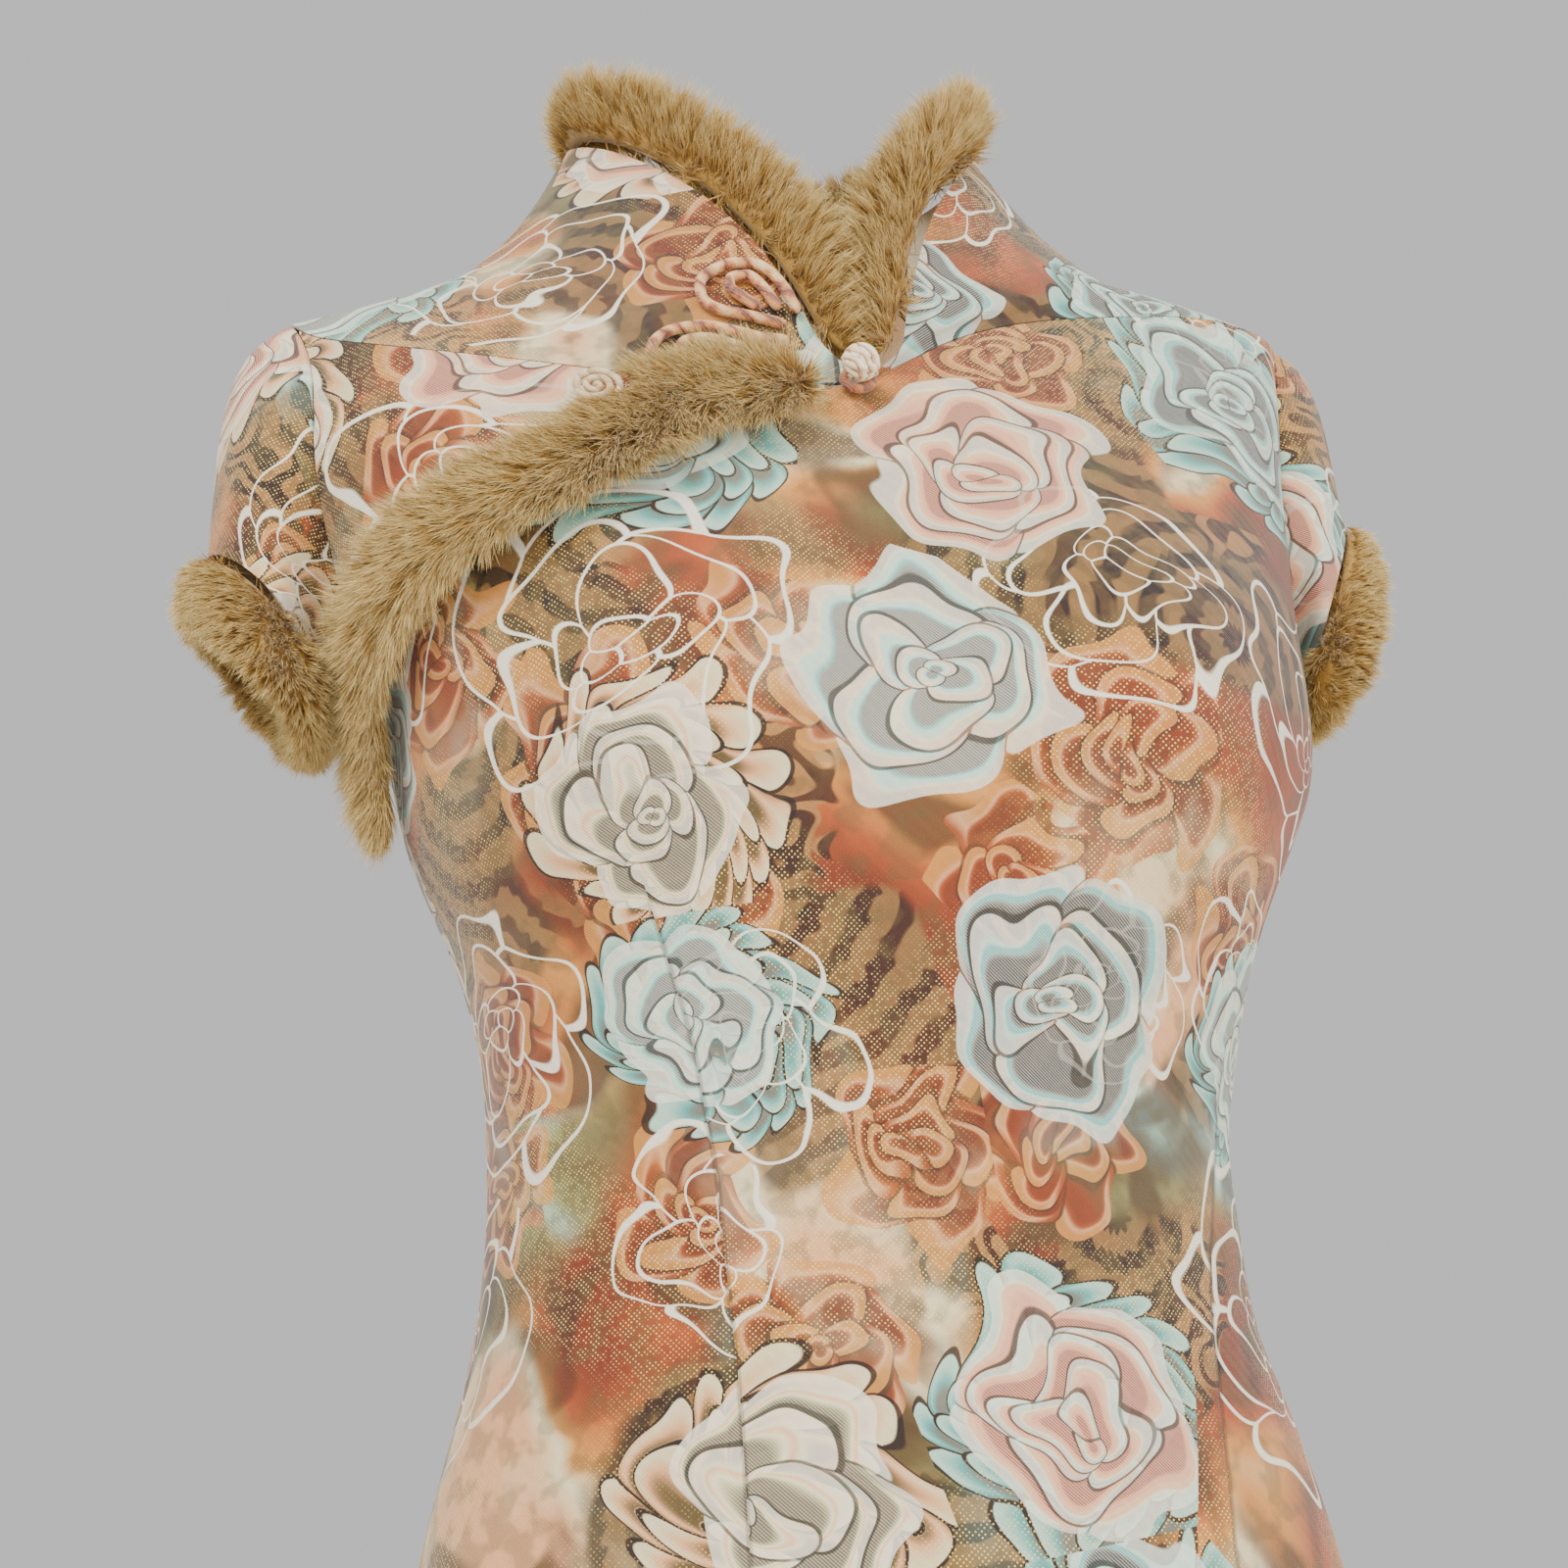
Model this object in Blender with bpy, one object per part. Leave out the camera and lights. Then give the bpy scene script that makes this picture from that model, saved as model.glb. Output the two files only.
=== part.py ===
"""Short-sleeved cheongsam with fur trim, built panel by panel, in metres.

The dress stands as it does on a wearer: front toward -Y, the wearer's left at +X, up at +Z.
The origin is midway between the shoulder tips, where the wearer holds it up.
Angles run round the body from the centre front, toward the wearer's left.
"""
import bmesh
import bpy
import numpy as np
from mathutils import Vector
from mathutils.bvhtree import BVHTree

# Cloth
WALL = 0.0015
SEAM_GAP = 0.0006
FUR_GAP = 0.0006

# Heights of the dress below the shoulder tips
HEM_Z = -0.88
SLIT_TOP_Z = -0.70
SLIT_OPEN = 0.006
UPPER_START_Z = -0.22
UNDERARM_Z = -0.138
OPENING_END_Z = -0.152

# The form that the dress is cut for, hem to shoulder tips: height, half width, depth in front,
# depth behind, sideways sway, squareness of the section
FORM = np.array([
    (-0.880, 0.150, 0.106, 0.114, -0.016, 2.3),
    (-0.720, 0.158, 0.108, 0.120, -0.016, 2.3),
    (-0.570, 0.160, 0.108, 0.122, -0.015, 2.3),
    (-0.450, 0.146, 0.100, 0.102, -0.013, 2.3),
    (-0.360, 0.124, 0.089, 0.082, -0.009, 2.3),
    (-0.275, 0.131, 0.096, 0.088, 0.000, 2.3),
    (-0.195, 0.163, 0.098, 0.096, 0.006, 2.5),
    (-0.155, 0.166, 0.096, 0.098, 0.003, 2.9),
    (-0.120, 0.175, 0.091, 0.097, -0.003, 3.0),
    (-0.080, 0.184, 0.082, 0.090, -0.007, 3.0),
    (-0.040, 0.189, 0.067, 0.077, -0.004, 2.8),
    (0.000, 0.192, 0.046, 0.054, 0.000, 2.6),
])
# Bust shaping of the front
BUST = {"x": 0.086, "z": -0.215, "out": 0.028, "across": 0.040, "above": 0.060, "below": 0.042}

# Armhole: an oval on the side of the form, its angle zero at the underarm and half a turn at the tip
ARMHOLE_HALF_HEIGHT = -UNDERARM_Z / 2.0
ARMHOLE_SWING = {1.0: 21.0, -1.0: 27.0}
ARMHOLE_SWING_RISE = 5.0
YOKE_END = 150.0

# Seams on the form: degrees from the centre front, height
NECK_POINT = (3.0, -0.068)
OPENING = np.array([
    (3.0, -0.068),
    (-12.0, -0.079),
    (-22.0, -0.094),
    (-34.0, -0.114),
    (-48.0, -0.131),
    (-62.0, -0.143),
    (-76.0, -0.149),
    (-90.0, OPENING_END_Z),
])
YOKE_SEAM_LEFT = np.array([
    (3.0, -0.068),
    (8.0, -0.056),
    (14.0, -0.041),
    (22.0, -0.029),
    (34.0, -0.019),
    (48.0, -0.011),
    (77.35, -0.00924),
])
YOKE_SEAM_RIGHT = np.array([
    (-74.35, -0.00924),
    (-60.0, -0.025),
    (-51.0, -0.034),
    (-42.0, -0.044),
    (-32.0, -0.054),
    (-22.0, -0.063),
    (-10.0, -0.068),
    (3.0, -0.068),
])
BACK_YOKE_DROP = 0.036
NECK_CLEARANCE = 0.0008
# Seam corners mitred over pieces this near, and no sharper than this share of the wall
JOIN_REACH = 0.008
SHARPEST_MITRE = 0.5
SHARPEST_CORNER = 0.02

# Top edge of the stand collar: degrees round the neck, then its place
COLLAR_EDGE = np.array([
    (0.0, 0.0030, -0.0790, -0.0630),
    (8.0, 0.0140, -0.0775, -0.0520),
    (20.0, 0.0190, -0.0745, -0.0340),
    (32.0, 0.0265, -0.0695, -0.0120),
    (44.0, 0.0345, -0.0620, 0.0080),
    (56.0, 0.0450, -0.0520, 0.0290),
    (68.0, 0.0600, -0.0370, 0.0520),
    (80.0, 0.0760, -0.0120, 0.0780),
    (95.0, 0.0840, 0.0140, 0.0930),
    (115.0, 0.0780, 0.0400, 0.0960),
    (140.0, 0.0540, 0.0640, 0.0930),
    (160.0, 0.0290, 0.0730, 0.0900),
    (180.0, 0.0000, 0.0760, 0.0890),
])
COLLAR_SHIFT = 0.005
COLLAR_STATIONS = ((0.0, 74.0, 106.0, 180.0), (0.0, 66.0, 100.0, 180.0))
COLLAR_SHOULDER_PULL = 0.42
COLLAR_RISE_PULL = 0.38
SHOULDER_FLATNESS = 0.20
# How the yoke leaves its seam: shares of straight up the body, to the collar, and level
CLIMB = {"upward": 0.25, "straight": 0.25, "level": 0.50}
# Degrees either side of the shoulder tip over which the yoke turns level
TIP_SPAN = (3.0, 25.0)
# How the collar arrives at its edge: lean toward the neck, pull along the column
ARRIVE = {"lean": 0.30, "straight": 0.35}

# Sleeve hem: an oval that hangs lower toward the body, one row a side
SLEEVE_HEM = {
    "left": {"side": 1.0, "centre": (0.1945, 0.003, -0.1080), "reach": 0.0145, "depth": 0.035,
             "slant": 0.033, "drop": 0.012, "pinch": 0.010, "rise": 0.010},
    "right": {"side": -1.0, "centre": (0.2030, 0.001, -0.1225), "reach": 0.019, "depth": 0.044,
              "slant": 0.025, "drop": -0.002, "pinch": 0.004, "rise": 0.012},
}
# How a sleeve leaves its armhole: along the way to the hem, outward, upward, and how far
SLEEVE_LEAVE = {"along": 0.5, "out": 0.9, "up": 0.15, "pull": 0.30}
SLEEVE_SWELL = (0.4, 0.6)
SLEEVE_HANG_PULL = 0.38
SLEEVE_HANG = (0.10, 0.0, -1.0)

# Fur strips: width on the cloth and thickness above it
COLLAR_FUR = {"width": 0.024, "thick": 0.014, "set_in": 0.005, "gap": 0.0002}
CUFF_FUR = {"width": 0.026, "thick": 0.013}
CUFF_TURN = 0.5
OPENING_FUR_THICK = 0.012
OPENING_FUR_LIFT = 0.0014
FUR_ROUND_END = (0.0, 0.62, 0.88, 1.0)
# Where the collar's fur turns from lying beside the neck opening to standing on the edge
COLLAR_FUR_TURN = {"start": 12.0, "span": 40.0, "narrow_until": 60.0, "first": 2.0}
COLLAR_FUR_MIDDLE_GAP = 0.0004
COLLAR_FUR_FORWARD = -0.5
# Degrees from the centre front, height, width
OPENING_FUR = np.array([
    (-2.0, -0.0770, 0.020),
    (-6.0, -0.0770, 0.026),
    (-12.0, -0.0790, 0.030),
    (-18.0, -0.0850, 0.030),
    (-23.0, -0.0980, 0.028),
    (-29.0, -0.1115, 0.026),
    (-37.0, -0.1215, 0.026),
    (-48.0, -0.1310, 0.026),
    (-60.0, -0.1430, 0.026),
    (-71.0, -0.1520, 0.026),
    (-79.0, -0.1650, 0.028),
    (-84.0, -0.1820, 0.030),
    (-86.0, -0.2080, 0.026),
])

# Frog of covered cord on the yoke: each cord's route as x and z, laid on the cloth below it
CORD_RADIUS = 0.0024
CORD_LIFT = 0.0005
FROG = {
    "frog_upper_loop": [
        (-0.0225, -0.0450), (-0.0276, -0.0430), (-0.0359, -0.0400), (-0.0435, -0.0372),
        (-0.0490, -0.0309), (-0.0490, -0.0236), (-0.0442, -0.0175), (-0.0361, -0.0143),
        (-0.0285, -0.0158), (-0.0235, -0.0210), (-0.0200, -0.0285), (-0.0172, -0.0385),
    ],
    "frog_upper_finger": [
        (-0.0305, -0.0365), (-0.0350, -0.0318), (-0.0390, -0.0262), (-0.0380, -0.0216),
        (-0.0325, -0.0210), (-0.0285, -0.0258), (-0.0260, -0.0315), (-0.0238, -0.0372),
    ],
    "frog_lower_loop": [
        (-0.0225, -0.0520), (-0.0300, -0.0510), (-0.0405, -0.0472), (-0.0515, -0.0440),
        (-0.0600, -0.0452), (-0.0670, -0.0497), (-0.0700, -0.0555),
    ],
    "frog_lower_finger": [
        (-0.0600, -0.0556), (-0.0577, -0.0514), (-0.0508, -0.0501), (-0.0430, -0.0526),
        (-0.0355, -0.0560),
    ],
}
COIL = {"x": -0.0900, "z": -0.0800, "turns": 2.6, "cord": 0.0015, "pitch": 0.0033, "start": 0.9,
        "lift": 0.0006, "steps": 46}
KNOT = {"x": 0.0010, "z": -0.0705, "radius": 0.0065, "seat": 0.82, "gap": 0.0005}
KNOT_RING = {"radius": 0.0052, "cord": 0.0018, "steps": 14}
KNOT_LIFT = 0.0025

# How many steps each edge is cut into, so that neighbours share their seam points
ARM_STEPS = 12
TIP_STEPS = 4
SIDE_STEPS = 4
PANEL_STEPS = 24
OPENING_STEPS = 12
YOKE_RIGHT_STEPS = 11
YOKE_ROWS = 6
SLEEVE_ROWS = 5
LOWER_HEIGHTS = (-0.88, -0.79, -0.70, -0.62, -0.55, -0.49, -0.44, -0.395, -0.355, -0.31,
                 -0.265, UPPER_START_Z)
FUR_SIDES = 8
OPENING_FUR_STEPS = 36
COLLAR_FUR_STEPS = 24
CUFF_FUR_STEPS = 28
CORD_SIDES = 6

# The panels' grids are evened out on a flat sheet of about the body's radius
GIRTH_RADIUS = 0.17
EVEN_ROUNDS = 600
EVEN_SHARE = 0.7
CREASE_ANGLE = 50.0

# Colours, roughness
CLOTH = ("printed cloth", (0.74, 0.47, 0.28), 0.65)
FUR = ("fur", (0.52, 0.38, 0.18), 0.95)
CORD = ("cord", (0.86, 0.66, 0.52), 0.70)


def smooth(table, x, column):
    """Read a table's column at x with a curve that doesn't overshoot its rows."""
    xs = table[:, 0]
    ys = table[:, column]
    if xs[0] > xs[-1]:
        xs = xs[::-1]
        ys = ys[::-1]
    step = np.diff(xs)
    slope = np.diff(ys) / step
    tangent = np.zeros_like(ys)
    before = 2 * step[1:] + step[:-1]
    after = step[1:] + 2 * step[:-1]
    for row in range(1, len(xs) - 1):
        low, high = slope[row - 1], slope[row]
        if low * high > 0:
            total = before[row - 1] + after[row - 1]
            tangent[row] = total / (before[row - 1] / low + after[row - 1] / high)
    tangent[0] = slope[0]
    tangent[-1] = slope[-1]
    x = np.asarray(x, dtype=float)
    row = np.clip(np.searchsorted(xs, x) - 1, 0, len(xs) - 2)
    t = (x - xs[row]) / step[row]
    start = (1 + 2 * t) * (1 - t) ** 2 * ys[row] + t * (1 - t) ** 2 * step[row] * tangent[row]
    end = t * t * (3 - 2 * t) * ys[row + 1] + t * t * (t - 1) * step[row] * tangent[row + 1]
    return start + end


def unit(vectors):
    """Scale vectors to length one."""
    length = np.linalg.norm(vectors, axis=-1, keepdims=True)
    return vectors / np.maximum(length, 1e-12)


def body(angle, z):
    """Point of the form at an angle in degrees from the centre front and a height."""
    turn = np.radians(angle)
    z = np.asarray(z, dtype=float) + 0.0 * turn
    half_width, front, back, sway, squareness = (smooth(FORM, z, column) for column in range(1, 6))
    across = np.sin(turn)
    ahead = np.cos(turn)
    scale = (np.abs(across) ** squareness + np.abs(ahead) ** squareness) ** (-1.0 / squareness)
    x = half_width * across * scale
    y = -np.where(ahead > 0, front, back) * ahead * scale
    spread = np.where(z > BUST["z"], BUST["above"], BUST["below"])
    swell = np.exp(-0.5 * ((np.abs(x) - BUST["x"]) / BUST["across"]) ** 2
                   - 0.5 * ((z - BUST["z"]) / spread) ** 2)
    y = y - BUST["out"] * swell * np.clip(3.0 * ahead, 0.0, 1.0)
    return np.stack([x + sway, y, z], axis=-1)


def body_normal(angle, z):
    """Outward direction of the form."""
    turn_step, rise_step = 0.5, 0.001
    top = np.minimum(z + rise_step, 0.0)
    across = body(angle + turn_step, z) - body(angle - turn_step, z)
    along = body(angle, top) - body(angle, z - rise_step)
    return unit(np.cross(across, along))


def armhole_place(side, turn):
    """Angle and height of the armhole's oval, its turn counted in degrees from the underarm."""
    swing = ARMHOLE_SWING[side] - ARMHOLE_SWING_RISE * np.cos(np.radians(turn))
    angle = side * (90.0 - swing * np.sin(np.radians(turn)))
    z = -ARMHOLE_HALF_HEIGHT * (1.0 + np.cos(np.radians(turn)))
    return angle, z


def armhole(side, turn):
    """Point of the armhole."""
    return body(*armhole_place(side, turn))


def seam_places(table, start, end, steps):
    """Even steps along a seam table, as angle and height."""
    angle = np.linspace(start, end, steps + 1)
    return np.stack([angle, smooth(table, angle, 1)], axis=-1)


def back_yoke_places():
    """The back yoke seam, from the left armhole round to the right one."""
    angle_start, z_end = armhole_place(1.0, 360.0 - YOKE_END)
    angle_end = armhole_place(-1.0, 360.0 - YOKE_END)[0] + 360.0
    angle = np.linspace(angle_start, angle_end, PANEL_STEPS + 1)
    fall = np.sin(np.pi * (angle - angle_start) / (angle_end - angle_start))
    return np.stack([angle, z_end - BACK_YOKE_DROP * fall], axis=-1)


def arm_places(side, start, end, steps):
    """Even steps round the armhole, as angle and height."""
    turn = np.linspace(start, end, steps + 1)
    return np.stack(armhole_place(side, turn), axis=-1)


def fill(bottom, top, left, right):
    """Fill four edges of places with a grid, columns across and rows up, then even it out."""
    u = np.linspace(0.0, 1.0, len(bottom))[:, None, None]
    v = np.linspace(0.0, 1.0, len(left))[None, :, None]
    across = (1 - u) * left[None] + u * right[None]
    along = (1 - v) * bottom[:, None] + v * top[:, None]
    corners = ((1 - u) * (1 - v) * bottom[0] + u * (1 - v) * bottom[-1]
               + (1 - u) * v * top[0] + u * v * top[-1])
    return even_out(across + along - corners)


def even_out(grid):
    """Smooth the inside of a grid of places until no cell is folded, its edges kept."""
    flat = np.array([np.radians(GIRTH_RADIUS), 1.0])
    grid = grid * flat
    for _ in range(EVEN_ROUNDS):
        du = 0.5 * (grid[2:, 1:-1] - grid[:-2, 1:-1])
        dv = 0.5 * (grid[1:-1, 2:] - grid[1:-1, :-2])
        mixed = 0.25 * (grid[2:, 2:] - grid[2:, :-2] - grid[:-2, 2:] + grid[:-2, :-2])
        a = np.sum(dv * dv, axis=-1, keepdims=True)
        b = np.sum(du * dv, axis=-1, keepdims=True)
        c = np.sum(du * du, axis=-1, keepdims=True)
        target = (a * (grid[2:, 1:-1] + grid[:-2, 1:-1]) + c * (grid[1:-1, 2:] + grid[1:-1, :-2])
                  - 2 * b * mixed) / (2 * (a + c))
        grid[1:-1, 1:-1] += EVEN_SHARE * (target - grid[1:-1, 1:-1])
    return grid / flat


def side_angle(z):
    """Angle of a side seam: a quarter turn, drawn back a little where the slit opens."""
    half_width = smooth(FORM, z, 1)
    fall = np.clip((SLIT_TOP_Z - z) / (SLIT_TOP_Z - HEM_Z), 0.0, 1.0)
    return np.degrees(0.5 * SLIT_OPEN * fall / half_width)


def panel_places(first, last, upper):
    """Places of a panel between two side seams: rows from the hem, then the shaped upper part."""
    rows = []
    for z in LOWER_HEIGHTS[:-1]:
        draw = side_angle(z)
        angle = np.linspace(first + draw, last - draw, PANEL_STEPS + 1)
        rows.append(np.stack([angle, np.full(PANEL_STEPS + 1, z)], axis=-1))
    lower = np.stack(rows, axis=1)
    return np.concatenate([lower, upper], axis=1)


def side_rows(angle, top_z):
    """The side seam between the plain rows and the underarm or the opening."""
    z = np.linspace(UPPER_START_Z, top_z, SIDE_STEPS + 1)
    return np.stack([np.full(SIDE_STEPS + 1, angle), z], axis=-1)


def level(first, last):
    """The level row where the shaped part starts."""
    angle = np.linspace(first, last, PANEL_STEPS + 1)
    return np.stack([angle, np.full(PANEL_STEPS + 1, UPPER_START_Z)], axis=-1)


def front_main_places():
    """Front: up to the slanted opening on one side, the armhole on the other, and the yoke seam."""
    opening = seam_places(OPENING, -90.0, NECK_POINT[0], OPENING_STEPS)
    left = np.concatenate([side_rows(-90.0, OPENING_END_Z), opening[1:]])
    right = np.concatenate([side_rows(90.0, UNDERARM_Z), arm_places(1.0, 0.0, YOKE_END, ARM_STEPS)[1:]])
    top = seam_places(YOKE_SEAM_LEFT, NECK_POINT[0], right[-1][0], PANEL_STEPS)
    top[0] = left[-1]
    top[-1] = right[-1]
    upper = fill(level(-90.0, 90.0), top, left, right)
    return panel_places(-90.0, 90.0, upper)


def front_right_places():
    """Upper front under the opening: a piece between side seam, opening, armhole and yoke."""
    opening = seam_places(OPENING, -90.0, NECK_POINT[0], OPENING_STEPS)
    arm = arm_places(-1.0, 0.0, YOKE_END, ARM_STEPS)
    yoke = seam_places(YOKE_SEAM_RIGHT, arm[-1][0], NECK_POINT[0], YOKE_RIGHT_STEPS)
    yoke[0] = arm[-1]
    yoke[-1] = opening[-1]
    outline = np.concatenate([opening[:1], arm, yoke[1:]])
    rows = (len(outline) - 1 - OPENING_STEPS) // 2
    left = outline[:rows + 1]
    top = outline[rows:rows + OPENING_STEPS + 1]
    right = outline[rows + OPENING_STEPS:][::-1]
    return fill(opening, top, left, right)


def back_places():
    """Back, up to the back yoke seam."""
    arm_left = arm_places(1.0, 360.0, 360.0 - YOKE_END, ARM_STEPS)
    arm_right = arm_places(-1.0, 360.0, 360.0 - YOKE_END, ARM_STEPS) + np.array([360.0, 0.0])
    left = np.concatenate([side_rows(90.0, UNDERARM_Z), arm_left[1:]])
    right = np.concatenate([side_rows(270.0, UNDERARM_Z), arm_right[1:]])
    upper = fill(level(90.0, 270.0), back_yoke_places(), left, right)
    return panel_places(90.0, 270.0, upper)


def collar_edge(angle):
    """Point of the collar's top edge for an angle round the form, zero to a whole turn."""
    mirror = np.where(angle > 180.0, -1.0, 1.0)
    half_turn = np.where(angle > 180.0, 360.0 - angle, angle)
    station = np.interp(half_turn, *COLLAR_STATIONS)
    x, y, z = (smooth(COLLAR_EDGE, station, column) for column in (1, 2, 3))
    shift = COLLAR_SHIFT * np.cos(np.radians(np.minimum(station, 90.0)))
    return np.stack([mirror * x + shift, y, z], axis=-1)


def yoke_edge():
    """The yoke's lower edge all round: places, points and how far each is onto a shoulder tip."""
    front_left = seam_places(YOKE_SEAM_LEFT, NECK_POINT[0], armhole_place(1.0, YOKE_END)[0],
                             PANEL_STEPS)
    tip_left = arm_places(1.0, YOKE_END, 360.0 - YOKE_END, TIP_STEPS)
    back = back_yoke_places()
    tip_right = arm_places(-1.0, 360.0 - YOKE_END, YOKE_END, TIP_STEPS) + np.array([360.0, 0.0])
    front_right = seam_places(YOKE_SEAM_RIGHT, armhole_place(-1.0, YOKE_END)[0], NECK_POINT[0],
                              YOKE_RIGHT_STEPS) + np.array([360.0, 0.0])
    parts = [front_left, tip_left[1:], back[1:], tip_right[1:], front_right[1:]]
    return np.concatenate(parts)


def bent_rows(start, first, second, end, steps):
    """Rows of points along a bend from start to end, pulled by two points between."""
    rows = []
    for t in np.linspace(0.0, 1.0, steps + 1):
        rows.append((1 - t) ** 3 * start + 3 * t * (1 - t) ** 2 * first
                    + 3 * t * t * (1 - t) * second + t ** 3 * end)
    return np.stack(rows, axis=1)


def collar_yoke_points():
    """Collar and yoke in one: every column rises from the seam over the shoulder to the edge."""
    places = yoke_edge()
    angle, z = places[:, 0], places[:, 1]
    seam = body(angle, z)
    seam[[0, -1], 2] += NECK_CLEARANCE
    turned = angle.copy()
    turned[0] = 0.0
    turned[-1] = 360.0
    edge = collar_edge(turned)
    reach = np.linalg.norm(edge - seam, axis=-1, keepdims=True)
    straight = unit(edge - seam)
    upward = unit(body(angle, z) - body(angle, z - 0.002))
    flat = unit((edge - seam) * np.array([1.0, 1.0, SHOULDER_FLATNESS]))
    from_front = np.where(angle > 180.0, 360.0 - angle, angle)
    full, none = TIP_SPAN
    onto_tip = np.clip((none - np.abs(from_front - 90.0)) / (none - full), 0.0, 1.0)[:, None]
    climb = (CLIMB["upward"] * upward + CLIMB["straight"] * straight + CLIMB["level"] * flat)
    leave = unit((1 - onto_tip) * climb + onto_tip * flat)
    outward = edge * np.array([1.0, 1.0, 0.0])
    arrive = unit(np.array([0.0, 0.0, 1.0]) - ARRIVE["lean"] * unit(outward)
                  + ARRIVE["straight"] * straight)
    first = seam + leave * COLLAR_SHOULDER_PULL * reach
    second = edge - arrive * COLLAR_RISE_PULL * reach
    return bent_rows(seam, first, second, edge, YOKE_ROWS)


def sleeve_hem(hem, turn):
    """Point of a sleeve's hem, its turn counted as the armhole's."""
    side = hem["side"]
    around = np.radians(turn)
    x, y, z = hem["centre"]
    return np.stack([
        side * (x - hem["reach"] * np.cos(around) - hem["pinch"] * np.sin(around) ** 2),
        y - hem["depth"] * np.sin(around),
        (z - hem["slant"] * np.cos(around) - hem["drop"] * np.sin(around) ** 2
         - hem["rise"] * np.sin(around)),
    ], axis=-1)


def hang(side):
    """The way a sleeve's lower edge hangs."""
    return unit(np.array([side, 1.0, 1.0]) * SLEEVE_HANG)


def sleeve_points(hem):
    """Cap sleeve, from the armhole over the top of the arm to its hem."""
    side = hem["side"]
    front = np.linspace(0.0, YOKE_END, ARM_STEPS + 1)
    tip = np.linspace(YOKE_END, 360.0 - YOKE_END, TIP_STEPS + 1)
    behind = np.linspace(360.0 - YOKE_END, 360.0, ARM_STEPS + 1)
    turn = np.concatenate([front, tip[1:], behind[1:-1]])
    start = armhole(side, turn)
    end = sleeve_hem(hem, turn)
    reach = np.linalg.norm(end - start, axis=-1, keepdims=True)
    least, more = SLEEVE_SWELL
    swell = least + more * np.sin(np.radians(turn / 2.0))[:, None]
    away = np.array([side * SLEEVE_LEAVE["out"], 0.0, SLEEVE_LEAVE["up"]])
    leave = unit(unit(end - start) * SLEEVE_LEAVE["along"] + swell * away)
    first = start + leave * SLEEVE_LEAVE["pull"] * reach
    second = end - hang(side) * SLEEVE_HANG_PULL * reach
    return bent_rows(start, first, second, end, SLEEVE_ROWS)


def grid_normals(points, wrap, flip):
    """Outward directions of a grid of points, worked out from its neighbours."""
    if wrap:
        across = np.roll(points, -1, axis=0) - np.roll(points, 1, axis=0)
    else:
        across = np.gradient(points, axis=0)
    along = np.gradient(points, axis=1)
    return unit(np.cross(across, along)) * (-1.0 if flip else 1.0)


def edge_mask(points, wrap):
    """Which grid points lie on the piece's edge."""
    mask = np.zeros(points.shape[:2], dtype=bool)
    mask[:, 0] = mask[:, -1] = True
    if not wrap:
        mask[0, :] = mask[-1, :] = True
    return mask


def joined_walls(pieces):
    """Each piece's wall directions, mitred along the seams so that neighbours don't cross."""
    for piece in pieces:
        own = piece["normals"]
        walls = WALL * own.copy()
        mask = edge_mask(piece["points"], piece["wrap"])
        for i, j in np.argwhere(mask):
            point, normal = piece["points"][i, j], own[i, j]
            total = normal.copy()
            for other in pieces:
                if other is piece:
                    continue
                gap = np.linalg.norm(other["edge_points"] - point, axis=-1)
                nearest = int(np.argmin(gap))
                if gap[nearest] < JOIN_REACH:
                    total = total + other["edge_normals"][nearest]
            shared = unit(total)
            walls[i, j] = WALL * shared / max(float(shared @ normal), SHARPEST_MITRE)
        piece["walls"] = walls


def inward(edge, beside):
    """Direction into the cloth, square to an edge, for each point of that edge."""
    along = unit(np.gradient(edge, axis=0))
    into = beside - edge
    return unit(into - np.sum(into * along, axis=-1, keepdims=True) * along)


def draw_back(points, wrap):
    """Draw a grid's edges back by half the seam gap, and its corners along their own angle."""
    half = SEAM_GAP / 2.0
    if wrap:
        loop = np.concatenate([points[-1:], points, points[:1]])
        drawn = points.copy()
        drawn[:, 0] += half * inward(loop[:, 0], loop[:, 1])[1:-1]
        drawn[:, -1] += half * inward(loop[:, -1], loop[:, -2])[1:-1]
        return drawn
    shift = {
        "low": inward(points[:, 0], points[:, 1]),
        "high": inward(points[:, -1], points[:, -2]),
        "first": inward(points[0], points[1]),
        "last": inward(points[-1], points[-2]),
    }
    drawn = points.copy()
    drawn[1:-1, 0] += half * shift["low"][1:-1]
    drawn[1:-1, -1] += half * shift["high"][1:-1]
    drawn[0, 1:-1] += half * shift["first"][1:-1]
    drawn[-1, 1:-1] += half * shift["last"][1:-1]
    for column, row, one, other in ((0, 0, "low", "first"), (-1, 0, "low", "last"),
                                    (0, -1, "high", "first"), (-1, -1, "high", "last")):
        first = shift[one][column]
        second = shift[other][row]
        drawn[column, row] += half * (first + second) / max(1.0 + float(first @ second), SHARPEST_CORNER)
    return drawn


def material(look):
    """A plain material of one colour."""
    name, colour, roughness = look
    made = bpy.data.materials.get(name)
    if made is None:
        made = bpy.data.materials.new(name)
        made.use_nodes = True
        shader = made.node_tree.nodes["Principled BSDF"]
        shader.inputs["Base Color"].default_value = (*colour, 1.0)
        shader.inputs["Roughness"].default_value = roughness
    return made


def add_object(name, mesh, look):
    """Put a mesh in the scene under its piece's name."""
    mesh.materials.append(material(look))
    made = bpy.data.objects.new(name, mesh)
    bpy.context.scene.collection.objects.link(made)
    return made


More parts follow.
